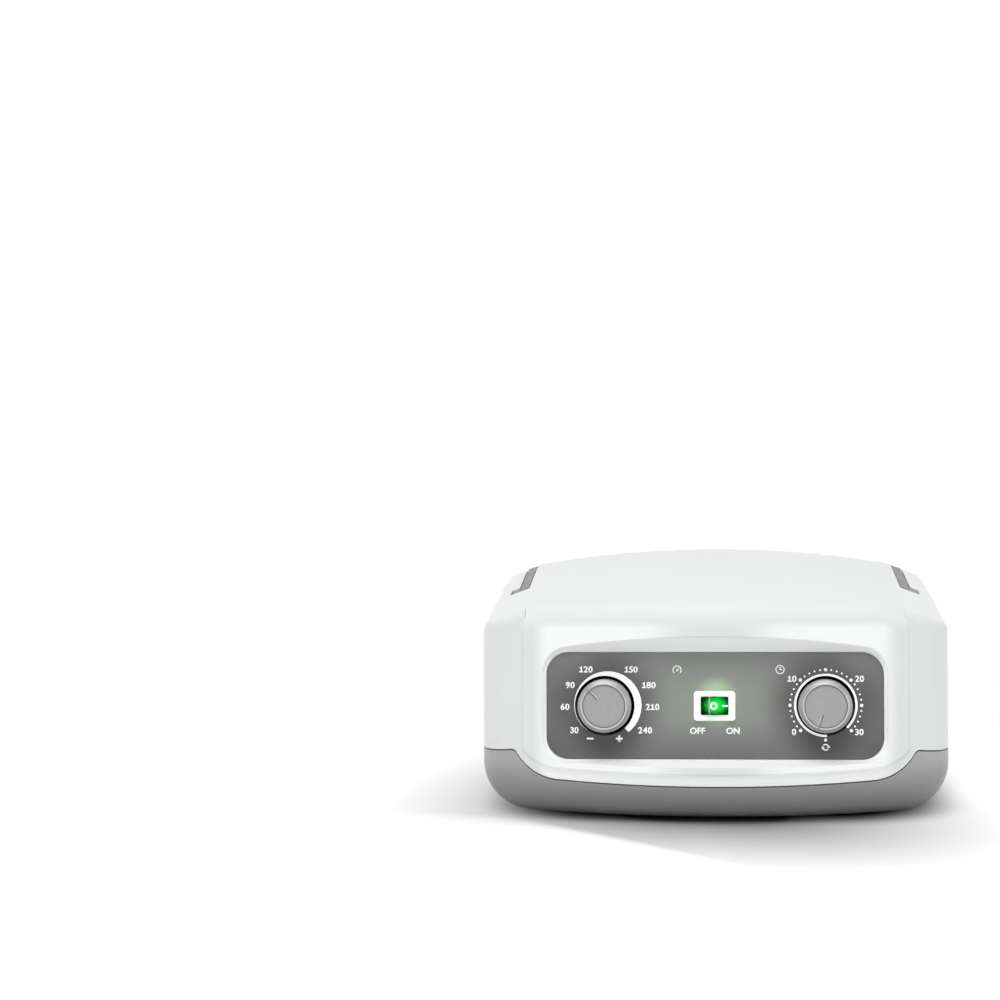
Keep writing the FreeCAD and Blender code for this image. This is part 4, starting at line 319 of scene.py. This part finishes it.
def rocker_finish():
    """Translucent green, lit from behind: bright in the middle, almost black at the corners, with a painted
    highlight along the ridge.
    """
    finish = Finish("rocker_green", roughness=0.3, specular=0.06)
    u, v = finish.on_panel()[:2]
    glow = finish.ramp(finish.reach(u, v, (0.7, 0.3), (8.3, 6.2)), 0.1, 1.0, 1.0, 0.0)
    cloud = finish.noise(900.0, 2.0)
    light = finish.math("MULTIPLY", glow, finish.ramp(cloud, 0.2, 0.8, 0.88, 1.1))
    # Painted highlight: a pale stripe of emission along the ridge
    from_ridge = finish.math("ABSOLUTE", finish.math("SUBTRACT", u, RIDGE))
    ridge = finish.ramp(from_ridge, 0.25, 0.5, 1.0, 0.0)
    finish.drive("Base Color", finish.mix(light, (0.0, 0.006, 0.0, 1.0), (0.0, 0.10, 0.01, 1.0)))
    deep = finish.mix(light, (0.0, 0.02, 0.0, 1.0), (0.0, 0.86, 0.07, 1.0))
    finish.drive("Emission Color", finish.mix(ridge, deep, (0.34, 0.50, 0.34, 1.0)))
    finish.drive("Emission Strength", finish.ramp(light, 0.0, 0.5, 0.35, 1.0))
    finish.relief(cloud, 0.004 * MM, 0.15 * MM)
    return finish.material


def bezel_white():
    """White frame of the rocker switch, with a painted glow for the light its lamp lets through."""
    finish = Finish("bezel_white", roughness=0.3)
    flow = finish.noise(300.0, 3.0)
    tint = (0.98, 1.0, 0.98)
    finish.drive("Base Color", finish.mix(flow, grey(0.80, tint), grey(0.84, tint)))
    # Painted light: an even glow over the whole frame
    finish.set("Emission Color", (0.88, 1.0, 0.88, 1.0))
    finish.set("Emission Strength", 0.38)
    finish.relief(flow, 0.004 * MM, 0.2 * MM)
    return finish.material


def rubber(name, value):
    finish = Finish(name, roughness=0.75)
    fine = finish.noise(1800.0, 4.0, 0.65)
    finish.drive("Base Color", finish.mix(fine, grey(value * 0.8), grey(value * 1.3)))
    finish.relief(fine, 0.02 * MM, 0.2 * MM)
    return finish.material


def felt():
    finish = Finish("felt", roughness=0.95)
    fibres = finish.noise(2600.0, 6.0, 0.8)
    finish.drive("Base Color", finish.mix(fibres, grey(0.3), grey(0.62)))
    finish.set("Sheen Weight", 0.3)
    finish.relief(fibres, 0.2 * MM)
    return finish.material


def clear_glass():
    finish = Finish("lamp_glass", roughness=0.05)
    finish.set("Transmission Weight", 0.9)
    ripple = finish.noise(300.0, 2.0)
    finish.drive("Base Color", finish.mix(ripple, (0.75, 0.95, 0.78, 1.0), (0.85, 1.0, 0.88, 1.0)))
    finish.relief(ripple, 0.01 * MM)
    return finish.material


def silicone():
    finish = Finish("silicone", roughness=0.35)
    cloud = finish.noise(200.0, 3.0)
    finish.drive("Base Color", finish.mix(cloud, grey(0.5), grey(0.62)))
    finish.set("Subsurface Weight", 0.2)
    finish.relief(cloud, 0.01 * MM)
    return finish.material


def laminated_steel():
    """Stacked sheets: bands every half millimetre of height."""
    finish = Finish("core_steel", metallic=0.7, roughness=0.45)
    z = finish.position()[2]
    sheet = finish.math("PINGPONG", z, 0.25 * MM)
    bands = finish.ramp(sheet, 0.02 * MM, 0.12 * MM)
    finish.drive("Base Color", finish.mix(bands, grey(0.05), grey(0.22)))
    finish.relief(bands, 0.05 * MM, 0.1 * MM)
    return finish.material


def wound_copper():
    """Enamelled wire, a turn every 0.4 mm along X, with painted shade where turns meet and a painted
    highlight along each turn.
    """
    finish = Finish("copper_wire", metallic=0.8, roughness=0.3)
    turn = finish.math("PINGPONG", finish.position()[0], 0.2 * MM)
    # Painted shade where the turns meet and a painted highlight along each turn's middle
    bands = finish.ramp(turn, 0.0, 0.2 * MM)
    finish.drive("Base Color", finish.mix(bands, (0.16, 0.05, 0.02, 1.0), (0.62, 0.25, 0.10, 1.0)))
    finish.relief(bands, 0.1 * MM, 0.1 * MM)
    return finish.material


FINISHES = {
    "case_white": case_white(),
    "tray_grey": tray_grey(),
    "panel_dark": panel_finish(),
    "handle_grey": moulded_plastic("handle_grey", grey(0.20), 0.5, 1600.0, 0.006 * MM),
    "knob_grey": knob_finish(),
    "disc_satin": disc_finish(),
    "steel": metal("steel", grey(0.6), 0.32, (1.0, 12.0, 1.0)),
    "nickel": metal("nickel", grey(0.66), 0.2),
    "brass": metal("brass", (0.72, 0.52, 0.22, 1.0), 0.28),
    "black_plastic": moulded_plastic("black_plastic", grey(0.018), 0.42, 2200.0, 0.012 * MM, 0.2),
    "rocker_green": rocker_finish(),
    "lamp_glass": clear_glass(),
    "rubber": rubber("rubber", 0.03),
    "felt": felt(),
    "core_steel": laminated_steel(),
    "copper_wire": wound_copper(),
    "aluminium": metal("aluminium", grey(0.68), 0.34, (1.0, 1.0, 9.0)),
    "magnet": metal("magnet", grey(0.62), 0.16),
    "head_alloy": metal("head_alloy", grey(0.55), 0.5, scale=500.0, depth=0.02 * MM),
    "rotor_white": moulded_plastic("rotor_white", grey(0.7), 0.4),
    "board_green": moulded_plastic("board_green", (0.01, 0.12, 0.04, 1.0), 0.3, 500.0, spread=0.2),
    "relay_blue": moulded_plastic("relay_blue", (0.02, 0.08, 0.30, 1.0), 0.35),
    "silicone": silicone(),
}

for subpart in frame["record"]["subparts"]:
    node = nodes[subpart["node"]]
    node.data.materials.clear()
    node.data.materials.append(FINISHES[subpart["material_slot"]])
nodes["switch_housing"].data.materials[0] = bezel_white()


# Printed graphics on the panel, and painted shade and highlights laid the same way on knobs and screws

def print_ink(name, colour):
    """Screen-printed ink: slightly uneven white, with a faint painted glow."""
    finish = Finish(name, roughness=0.5)
    uneven = finish.noise(2500.0, 3.0, 0.6)
    finish.drive("Base Color", finish.mix(uneven, scaled(colour, 0.94), colour))
    # Painted light: the ink glows faintly
    finish.set("Emission Color", colour)
    finish.set("Emission Strength", 0.3)
    finish.relief(uneven, 0.004 * MM)
    return finish.material


white_ink = print_ink("white_ink", (0.9, 0.91, 0.9, 1.0))
pointer_shade = pointer_finish()

# Millimetres: gap and thickness of the ink, and the two shifted layers that make a letter bold
INK_LIFT = 0.02
INK_THICKNESS = 0.05
BOLD_SHIFTS = ((-0.055, -0.02), (0.055, 0.02))
LAYER_LIFT = 0.004

# Height of a capital as a share of the font's size, and stroke of a one as a share of its height
CAPITAL_SHARE = 0.7
ONE_STROKE = 0.18


class Print:
    """Flat shapes drawn in millimetres round an origin on a face, raised as a thin layer of ink or of
    painted shade.
    """

    def __init__(self, name, face, origin=(0.0, 0.0)):
        self.name = name
        self.face = face
        self.origin = Vector((origin[0], origin[1], 0.0))
        self.work = bmesh.new()

    def point(self, u, v):
        return self.work.verts.new(self.origin + Vector((u, v, INK_LIFT)))

    def polygon(self, corners):
        self.work.faces.new([self.point(u, v) for u, v in corners])

    def dot(self, u, v, radius, sides=24):
        turns = [2 * math.pi / sides * k for k in range(sides)]
        self.polygon([(u + radius * math.cos(turn), v + radius * math.sin(turn)) for turn in turns])

    def bar(self, start, end, width):
        """A straight stroke with square ends."""
        along = (Vector(end) - Vector(start)).normalized() * width / 2
        side = Vector((-along.y, along.x))
        first, last = Vector(start), Vector(end)
        self.polygon([first - side, last - side, last + side, first + side])

    def sweep(self, start, finish, inner, outer, steps=160):
        """A band between two radii, each a function of the angle in degrees."""
        rows = []
        for k in range(steps + 1):
            angle = start + (finish - start) * k / steps
            way = Vector((math.cos(math.radians(angle)), math.sin(math.radians(angle))))
            rows.append((self.point(*(way * inner(angle))), self.point(*(way * outer(angle)))))
        for (a, b), (c, d) in zip(rows, rows[1:]):
            self.work.faces.new((a, b, d, c))

    def figure_one(self, height, stroke):
        """A one with a flag and a foot, its lower left corner at the origin."""
        foot = height * 0.68
        middle = foot * 0.56
        left, right = middle - stroke / 2, middle + stroke / 2
        flag, notch = height * 0.80, height * 0.64
        tip = left - foot * 0.30
        stem = [(left, stroke), (right, stroke), (right, height), (left + stroke * 0.25, height),
                (left, flag + stroke / 2)]
        hook = [(left, flag + stroke / 2), (tip, flag), (tip, notch), (left, notch + stroke / 3)]
        base = [(0, 0), (foot, 0), (foot, stroke), (0, stroke)]
        work = bmesh.new()
        for outline in (stem, hook, base):
            work.faces.new([work.verts.new((x, y, 0)) for x, y in outline])
        mesh = bpy.data.meshes.new("one")
        work.to_mesh(mesh)
        work.free()
        return mesh

    def glyph(self, letter, height, weight):
        """A flat letter, its lower left corner at the origin."""
        if letter == "1":
            return self.figure_one(height, height * ONE_STROKE)
        curve = bpy.data.curves.new(letter, "FONT")
        curve.body = letter
        curve.size = height / CAPITAL_SHARE
        curve.offset = weight * curve.size
        writer = bpy.data.objects.new(letter, curve)
        bpy.context.scene.collection.objects.link(writer)
        mesh = bpy.data.meshes.new_from_object(writer)
        bpy.data.objects.remove(writer)
        left = min(vertex.co.x for vertex in mesh.vertices)
        mesh.transform(Matrix.Translation((-left, 0, 0)))
        return mesh

    def text(self, body, u, v, height, weight=0.02):
        """Upright bold figures or letters centred on a place; height is that of a capital."""
        gap = height * 0.11
        glyphs = [self.glyph(letter, height, weight) for letter in body]
        widths = [max(vertex.co.x for vertex in mesh.vertices) for mesh in glyphs]
        left = u - (sum(widths) + gap * (len(glyphs) - 1)) / 2
        for mesh, width in zip(glyphs, widths):
            for layer, (aside, up) in enumerate(BOLD_SHIFTS):
                corner = Vector((left + aside, v - height / 2 + up, INK_LIFT + layer * LAYER_LIFT))
                copy = mesh.copy()
                copy.transform(Matrix.Translation(self.origin + corner))
                self.work.from_mesh(copy)
            left += width + gap

    def lay(self, body, ink):
        """Finish the piece and let it ride on a body."""
        bmesh.ops.recalc_face_normals(self.work, faces=self.work.faces)
        faces = list(self.work.faces)
        if faces and sum(face.normal.z for face in faces) < 0:
            bmesh.ops.reverse_faces(self.work, faces=faces)
        raised = bmesh.ops.extrude_face_region(self.work, geom=list(self.work.faces))
        lifted = [item for item in raised["geom"] if isinstance(item, bmesh.types.BMVert)]
        bmesh.ops.translate(self.work, verts=lifted, vec=(0, 0, INK_THICKNESS))
        bmesh.ops.transform(self.work, matrix=self.face, verts=self.work.verts)
        mesh = bpy.data.meshes.new(self.name)
        self.work.to_mesh(mesh)
        self.work.free()
        piece = bpy.data.objects.new(self.name, mesh)
        bpy.context.scene.collection.objects.link(piece)
        # The material is printed ink, or painted shade for groove floors and screw recesses
        mesh.materials.append(ink)
        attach(piece, body)
        return piece


def constant(value):
    return lambda angle: value


# Millimetres: height of a figure, and radius at which the crescent starts outside the knob's well
FIGURE = 3.05
WELL = 15.25


def pressure_scale():
    """A crescent that swells clockwise, its numbers, and a minus and a plus below."""
    scale = Print("pressure_scale", panel_frame, (-knob_side, 0))
    tail, end = 236.0, -48.0
    swell, lift, sideways = 17.2, 0.25, 1.6

    def outer(angle):
        turn = math.radians(angle)
        full = swell + sideways * math.cos(turn) + lift * math.sin(turn)
        return WELL + (full - WELL) * min(1.0, (tail - angle) / 55.0)

    scale.sweep(tail, end, constant(WELL), outer)
    figures = {"30": (-15.5, -12.5), "60": (-20.3, -0.6), "90": (-17.6, 10.5), "120": (-9.6, 18.5),
               "150": (13.5, 18.5), "180": (22.5, 10.5), "210": (24.4, -0.6), "240": (20.6, -12.5)}
    for body, (u, v) in figures.items():
        scale.text(body, u, v, FIGURE)
    sign_reach, sign_width = 1.7, 0.95
    minus, plus, low = -7.5, 7.4, -16.8
    scale.bar((minus - sign_reach, low), (minus + sign_reach, low), sign_width)
    scale.bar((plus - sign_reach, low), (plus + sign_reach, low), sign_width)
    scale.bar((plus, low + sign_width / 2), (plus, low + sign_reach), sign_width)
    scale.bar((plus, low - sign_reach), (plus, low - sign_width / 2), sign_width)
    return scale.lay("case", white_ink)


def time_scale():
    """A ring open at the lower right, a dot for each minute, and the figures 0 to 30."""
    scale = Print("time_scale", panel_frame, (knob_side + 0.35, 0.3))
    start, end = 270.0, -45.0
    middle, width = 15.5, 1.15
    scale.sweep(start, end, constant(middle - width / 2), constant(middle + width / 2))
    for angle in (start, end):
        turn = math.radians(angle)
        scale.dot(middle * math.cos(turn), middle * math.sin(turn), width / 2)
    circle, minutes, zero, span = 18.1, 30, 225.0, 270.0
    for minute in range(minutes + 1):
        turn = math.radians(zero - span * minute / minutes)
        radius = 0.85 if minute % 5 == 0 else 0.5
        scale.dot(circle * math.cos(turn), circle * math.sin(turn), radius, 16)
    figures = {"0": (-16.1, -13.5), "10": (-17.1, 13.5), "20": (17.1, 13.5), "30": (16.8, -13.5)}
    for body, (u, v) in figures.items():
        scale.text(body, u, v, FIGURE)
    scale.dot(-0.2, -17.6, 0.8)
    return scale.lay("case", white_ink)


def repeat_symbol():
    """Two arrows in a circle: runs without an end."""
    symbol = Print("repeat_symbol", panel_frame, (knob_side + 0.15, -20.95))
    radius, width, head = 1.45, 0.6, 0.95
    for start in (20.0, 200.0):
        inner, outer = constant(radius - width / 2), constant(radius + width / 2)
        symbol.sweep(start, start + 125.0, inner, outer, 24)
        turn = math.radians(start)
        out = Vector((math.cos(turn), math.sin(turn)))
        ahead = Vector((out.y, -out.x))
        centre = out * radius
        symbol.polygon([centre + out * head, centre - out * head, centre + ahead * head * 1.2])
    return symbol.lay("case", white_ink)


def switch_words():
    words = Print("switch_words", panel_frame)
    words.text("OFF", -8.7, -12.7, 3.1)
    words.text("ON", 9.3, -12.7, 3.1)
    return words.lay("case", white_ink)


def gauge_symbol():
    """A small plain gauge beside the pressure dial."""
    symbol = Print("gauge_symbol", panel_frame, (-19.0, 18.2))
    radius, width = 2.3, 0.45
    symbol.sweep(-45.0, 225.0, constant(radius - width), constant(radius), 48)
    symbol.bar((0.0, -0.2), (1.1, 1.1), width)
    symbol.dot(0.0, -0.2, 0.5, 16)
    return symbol.lay("case", white_ink)


def clock_symbol():
    """A small plain clock beside the time dial."""
    symbol = Print("clock_symbol", panel_frame, (33.3, 18.4))
    radius, width = 2.3, 0.45
    symbol.sweep(0.0, 360.0, constant(radius - width), constant(radius), 48)
    symbol.bar((0.0, -0.15), (0.0, 1.35), width)
    symbol.bar((-0.15, 0.0), (1.0, 0.0), width)
    return symbol.lay("case", white_ink)


def pointer_grooves():
    """Painted shade for the pointer grooves, carried over the lip of each knob, with a painted highlight
    in white ink along one edge.
    """
    disc_top, lip_top = 12.3, 12.6
    for name, body, side, angle in (("pressure_pointer", "pressure_control", -knob_side, 135.0),
                                    ("time_pointer", "time_control", knob_side, 251.0)):
        turn = Matrix.Translation((side, 0, 0)) @ Matrix.Rotation(math.radians(angle), 4, "Z")
        # Painted shade on the groove's floor and notch, and a painted highlight of white ink on its edge
        for part, height, start, end, offset, width, ink in (
                ("floor", disc_top - 0.36, 5.1, 10.45, 0.0, 1.0, pointer_shade),
                ("notch", lip_top - 0.045, 10.55, 11.75, 0.0, 1.0, pointer_shade),
                ("edge", disc_top - 0.05, 5.0, 10.45, -0.62, 0.16, white_ink)):
            face = panel_frame @ Matrix.Translation((0, 0, height)) @ turn
            strip = Print(f"{name}_{part}", face)
            strip.bar((start, offset), (end, offset), width)
            strip.lay(body, ink)


def rocker_marks():
    """The ring and the stroke on the rocker's raised face, which slopes down to the right."""
    ridge_rise = 4.1
    end, end_rise = 6.83, 1.75
    slope = math.atan2(end_rise - ridge_rise, end - RIDGE)
    pivot = panel_frame.inverted() @ Vector(joints["power_rocker_tilt"]["pos_m"])
    corner = Vector((RIDGE, 0, pivot.z + ridge_rise))
    face = panel_frame @ Matrix.Translation(corner) @ Matrix.Rotation(-slope, 4, "Y")
    ring = 2.3
    marks = Print("rocker_marks", face, (ring, 0))
    marks.sweep(0.0, 360.0, constant(0.95), constant(1.95), 40)
    marks.origin = Vector((0, 0, 0))
    marks.bar((6.7, 0.0), (9.7, 0.0), 0.85)
    return marks.lay("rocker", white_ink)


def loose_boxes(node):
    """Low and high corner of each separate solid of a node, in metres."""
    work = bmesh.new()
    work.from_mesh(node.data)
    work.transform(node.matrix_world)
    left = set(work.verts)
    boxes = []
    while left:
        group, front = [], [left.pop()]
        while front:
            vertex = front.pop()
            group.append(vertex.co.copy())
            for edge in vertex.link_edges:
                other = edge.other_vert(vertex)
                if other in left:
                    left.remove(other)
                    front.append(other)
        boxes.append([Vector(pick(point[axis] for point in group) for axis in range(3))
                      for pick in (min, max)])
    work.free()
    return boxes


def screw_recesses():
    """A flat dark cross of painted shade on the head of each screw that can be seen on the case, for
    its cross recess.
    """
    shade = rubber("recess_shade", 0.02)
    half_length, width = 1.55, 0.62
    rearward, downward = (1, 1), (2, -1)
    screws = {"outlet_screws": rearward, "inlet_screws": rearward, "case_screws": downward}
    for name, (out_axis, side) in screws.items():
        boxes = loose_boxes(nodes[name])
        boxes.sort(key=lambda box: tuple(round(part, 5) for part in box[0]))
        for number, (low, high) in enumerate(boxes):
            middle = (low + high) / 2
            middle[out_axis] = high[out_axis] if side > 0 else low[out_axis]
            out = Vector((0, 0, 0))
            out[out_axis] = side
            right = Vector((side, 0, 0)) if out_axis == 2 else Vector((-side, 0, 0))
            face = axes(middle, right, out.cross(right), out) @ Matrix.Scale(MM, 4)
            # Painted shade: a dark cross stands where the recess would be in shadow
            cross = Print(f"{name}_recess_{number}", face)
            cross.bar((-half_length, 0), (half_length, 0), width)
            for way in (-1, 1):
                cross.bar((0, way * width / 2), (0, way * half_length), width)
            cross.lay("case", shade)


pressure_scale()
time_scale()
repeat_symbol()
switch_words()
gauge_symbol()
clock_symbol()
pointer_grooves()
rocker_marks()
screw_recesses()


# Floor, light and camera

def camera_side(tree):
    """1 for rays that show the background: camera, glossy and transmission rays."""
    path = tree.nodes.new("ShaderNodeLightPath")
    shown = path.outputs["Is Camera Ray"]
    for kind in ("Is Glossy Ray", "Is Transmission Ray"):
        either = tree.nodes.new("ShaderNodeMath")
        either.operation = "MAXIMUM"
        tree.links.new(shown, either.inputs[0])
        tree.links.new(path.outputs[kind], either.inputs[1])
        shown = either.outputs[0]
    return shown


def floor_finish():
    """A matt pale floor that keeps the shadow at the pump's foot, deepened by painted shade, and
    turns white further out.

    What the camera sees is painted darker than what lights the pump from below, so that the shadow
    has depth. A painted contact shadow hugs a rounded outline of the foot, and a slanting edge ends
    the shadow at the front left.
    """
    finish = Finish("floor_white", roughness=1.0, specular=0.0)
    seen = camera_side(finish.tree)
    grain = finish.ramp(finish.noise(900.0, 3.0), 0.3, 0.7, 0.98, 1.02)
    x, y = finish.position()[:2]

    # Painted contact shadow: darker, for the camera only, inside a rounded outline of the foot
    half_width, corner, middle = 122.5 * MM, 4.0, 4.5 * MM
    half_depth = finish.ramp(finish.math("ABSOLUTE", x), 30 * MM, 80 * MM, 80 * MM, 86 * MM)
    beside = finish.math("ABSOLUTE", finish.math("SUBTRACT", x, middle))
    side = finish.math("POWER", finish.math("DIVIDE", beside, half_width), corner)
    behind = finish.math("DIVIDE", finish.math("ABSOLUTE", y), half_depth)
    deep = finish.math("POWER", behind, corner)
    outline = finish.math("POWER", finish.math("ADD", side, deep), 1 / corner)
    clear = finish.ramp(outline, 0.76, 1.08)
    painted_contact_shadow = finish.math("MULTIPLY_ADD", seen, finish.math("SUBTRACT", clear, 1.0), 1.0)
    # Painted shade: the floor the camera sees is darker than the floor that lights the pump
    unseen_grey, seen_shade_grey = 0.92, 0.30
    shade = finish.ramp(seen, 0.0, 1.0, unseen_grey, seen_shade_grey, smooth=False)
    finish.drive("Base Color", finish.product(shade, grain, painted_contact_shadow))

    right_reach, left_reach, front_reach, rear_reach = 150 * MM, 165 * MM, -130 * MM, 230 * MM
    shadow_x, shadow_y, skew = -6 * MM, -45 * MM, 0.35
    aside = finish.math("SUBTRACT", x, shadow_x)
    rightward = finish.math("MAXIMUM", aside, 0.0)
    leftward = finish.math("DIVIDE", finish.math("MINIMUM", aside, 0.0), left_reach)
    across = finish.math("MULTIPLY_ADD", rightward, 1 / right_reach, leftward)
    along = finish.math("SUBTRACT", finish.math("MULTIPLY_ADD", rightward, skew, y), shadow_y)
    front = finish.math("DIVIDE", along, front_reach)
    rear = finish.math("DIVIDE", along, rear_reach)
    away = finish.reach(across, finish.math("MAXIMUM", front, rear))
    fade = finish.ramp(away, 0.29, 1.0, smooth=False)

    slant, start = -0.8, -155.2 * MM
    beyond = finish.math("SUBTRACT", finish.math("MULTIPLY_ADD", x, slant, start), y)
    softness = finish.ramp(x, -150 * MM, -70 * MM, 3.5, 1.0)
    edge = finish.ramp(finish.math("DIVIDE", beyond, softness), -12 * MM, 13 * MM)
    shown = finish.product(finish.math("MAXIMUM", fade, edge), seen)
    white = finish.node("ShaderNodeEmission", Strength=painted_contact_shadow).outputs[0]
    blend = finish.node("ShaderNodeMixShader", _0=shown, _1=finish.shader.outputs[0], _2=white)
    finish.feed(finish.tree.nodes["Material Output"].inputs["Surface"], blend.outputs[0])
    return finish.material


def add_floor():
    half = 12.0
    mesh = bpy.data.meshes.new("floor")
    mesh.from_pydata([(-half, -half, 0), (half, -half, 0), (half, half, 0), (-half, half, 0)], [],
                     [(0, 1, 2, 3)])
    mesh.materials.append(floor_finish())
    floor = bpy.data.objects.new("floor", mesh)
    bpy.context.scene.collection.objects.link(floor)


def light_world(level):
    world = bpy.data.worlds.new("studio")
    bpy.context.scene.world = world
    world.use_nodes = True
    tree = world.node_tree
    background = tree.nodes["Background"]
    background.inputs["Color"].default_value = (1.0, 1.0, 1.0, 1.0)
    strength = tree.nodes.new("ShaderNodeMapRange")
    strength.inputs["To Min"].default_value = level
    strength.inputs["To Max"].default_value = 1.0
    tree.links.new(camera_side(tree), strength.inputs["Value"])
    tree.links.new(strength.outputs["Result"], background.inputs["Strength"])


def add_softbox(name, place, target, size, power):
    lamp = bpy.data.lights.new(name, "AREA")
    lamp.shape = "RECTANGLE"
    lamp.size, lamp.size_y = size
    lamp.energy = power
    box = bpy.data.objects.new(name, lamp)
    box.location = place
    box.rotation_euler = (Vector(target) - Vector(place)).to_track_quat("-Z", "Y").to_euler()
    bpy.context.scene.collection.objects.link(box)


def add_camera():
    """Stands before the pump, a little above it, and looks past its left side."""
    place = Vector((-1.2, -1469.9, 303.2)) * MM
    yaw, pitch, roll = math.radians(4.40), math.radians(5.643), math.radians(-0.685)
    level = Vector((-math.sin(yaw), math.cos(yaw), 0))
    forward = level * math.cos(pitch) - Vector((0, 0, math.sin(pitch)))
    right = Vector((math.cos(yaw), math.sin(yaw), 0))
    up = right.cross(forward)
    rolled_right = right * math.cos(roll) + up * math.sin(roll)
    rolled_up = up * math.cos(roll) - right * math.sin(roll)
    lens = bpy.data.cameras.new("camera")
    lens.sensor_width, lens.lens = 36.0, 99.34
    camera = bpy.data.objects.new("camera", lens)
    camera.matrix_world = axes(place, rolled_right, rolled_up, -forward)
    bpy.context.scene.collection.objects.link(camera)
    bpy.context.scene.camera = camera


# Place, target, width and height in metres, and power in watts
SOFTBOXES = {
    "key_front": ((-0.1, -0.75, 1.45), (0, 0, 0.05), (1.3, 1.0), 18.0),
    "key_back": ((-0.25, 0.45, 1.5), (0, 0, 0.05), (1.5, 1.1), 5.3),
    "side_left": ((-2.1, -0.35, 0.6), (0, 0, 0.06), (1.0, 1.2), 7.6),
    "side_right": ((2.1, -0.35, 0.6), (0, 0, 0.06), (1.0, 1.2), 11.5),
    "low_front": ((0.0, -0.8, 0.04), (0, 0, 0.10), (1.3, 0.06), 0.5),
    "rear_left": ((-1.7, 1.7, 0.45), (0, 0, 0.06), (1.0, 0.8), 9.0),
    "rear_right": ((1.7, 1.7, 0.45), (0, 0, 0.06), (1.0, 0.8), 9.0),
}

add_floor()
light_world(0.12)
for name, (place, target, size, power) in SOFTBOXES.items():
    add_softbox(name, place, target, size, power)
add_camera()

scene = bpy.context.scene
scene.view_settings.view_transform = "Standard"
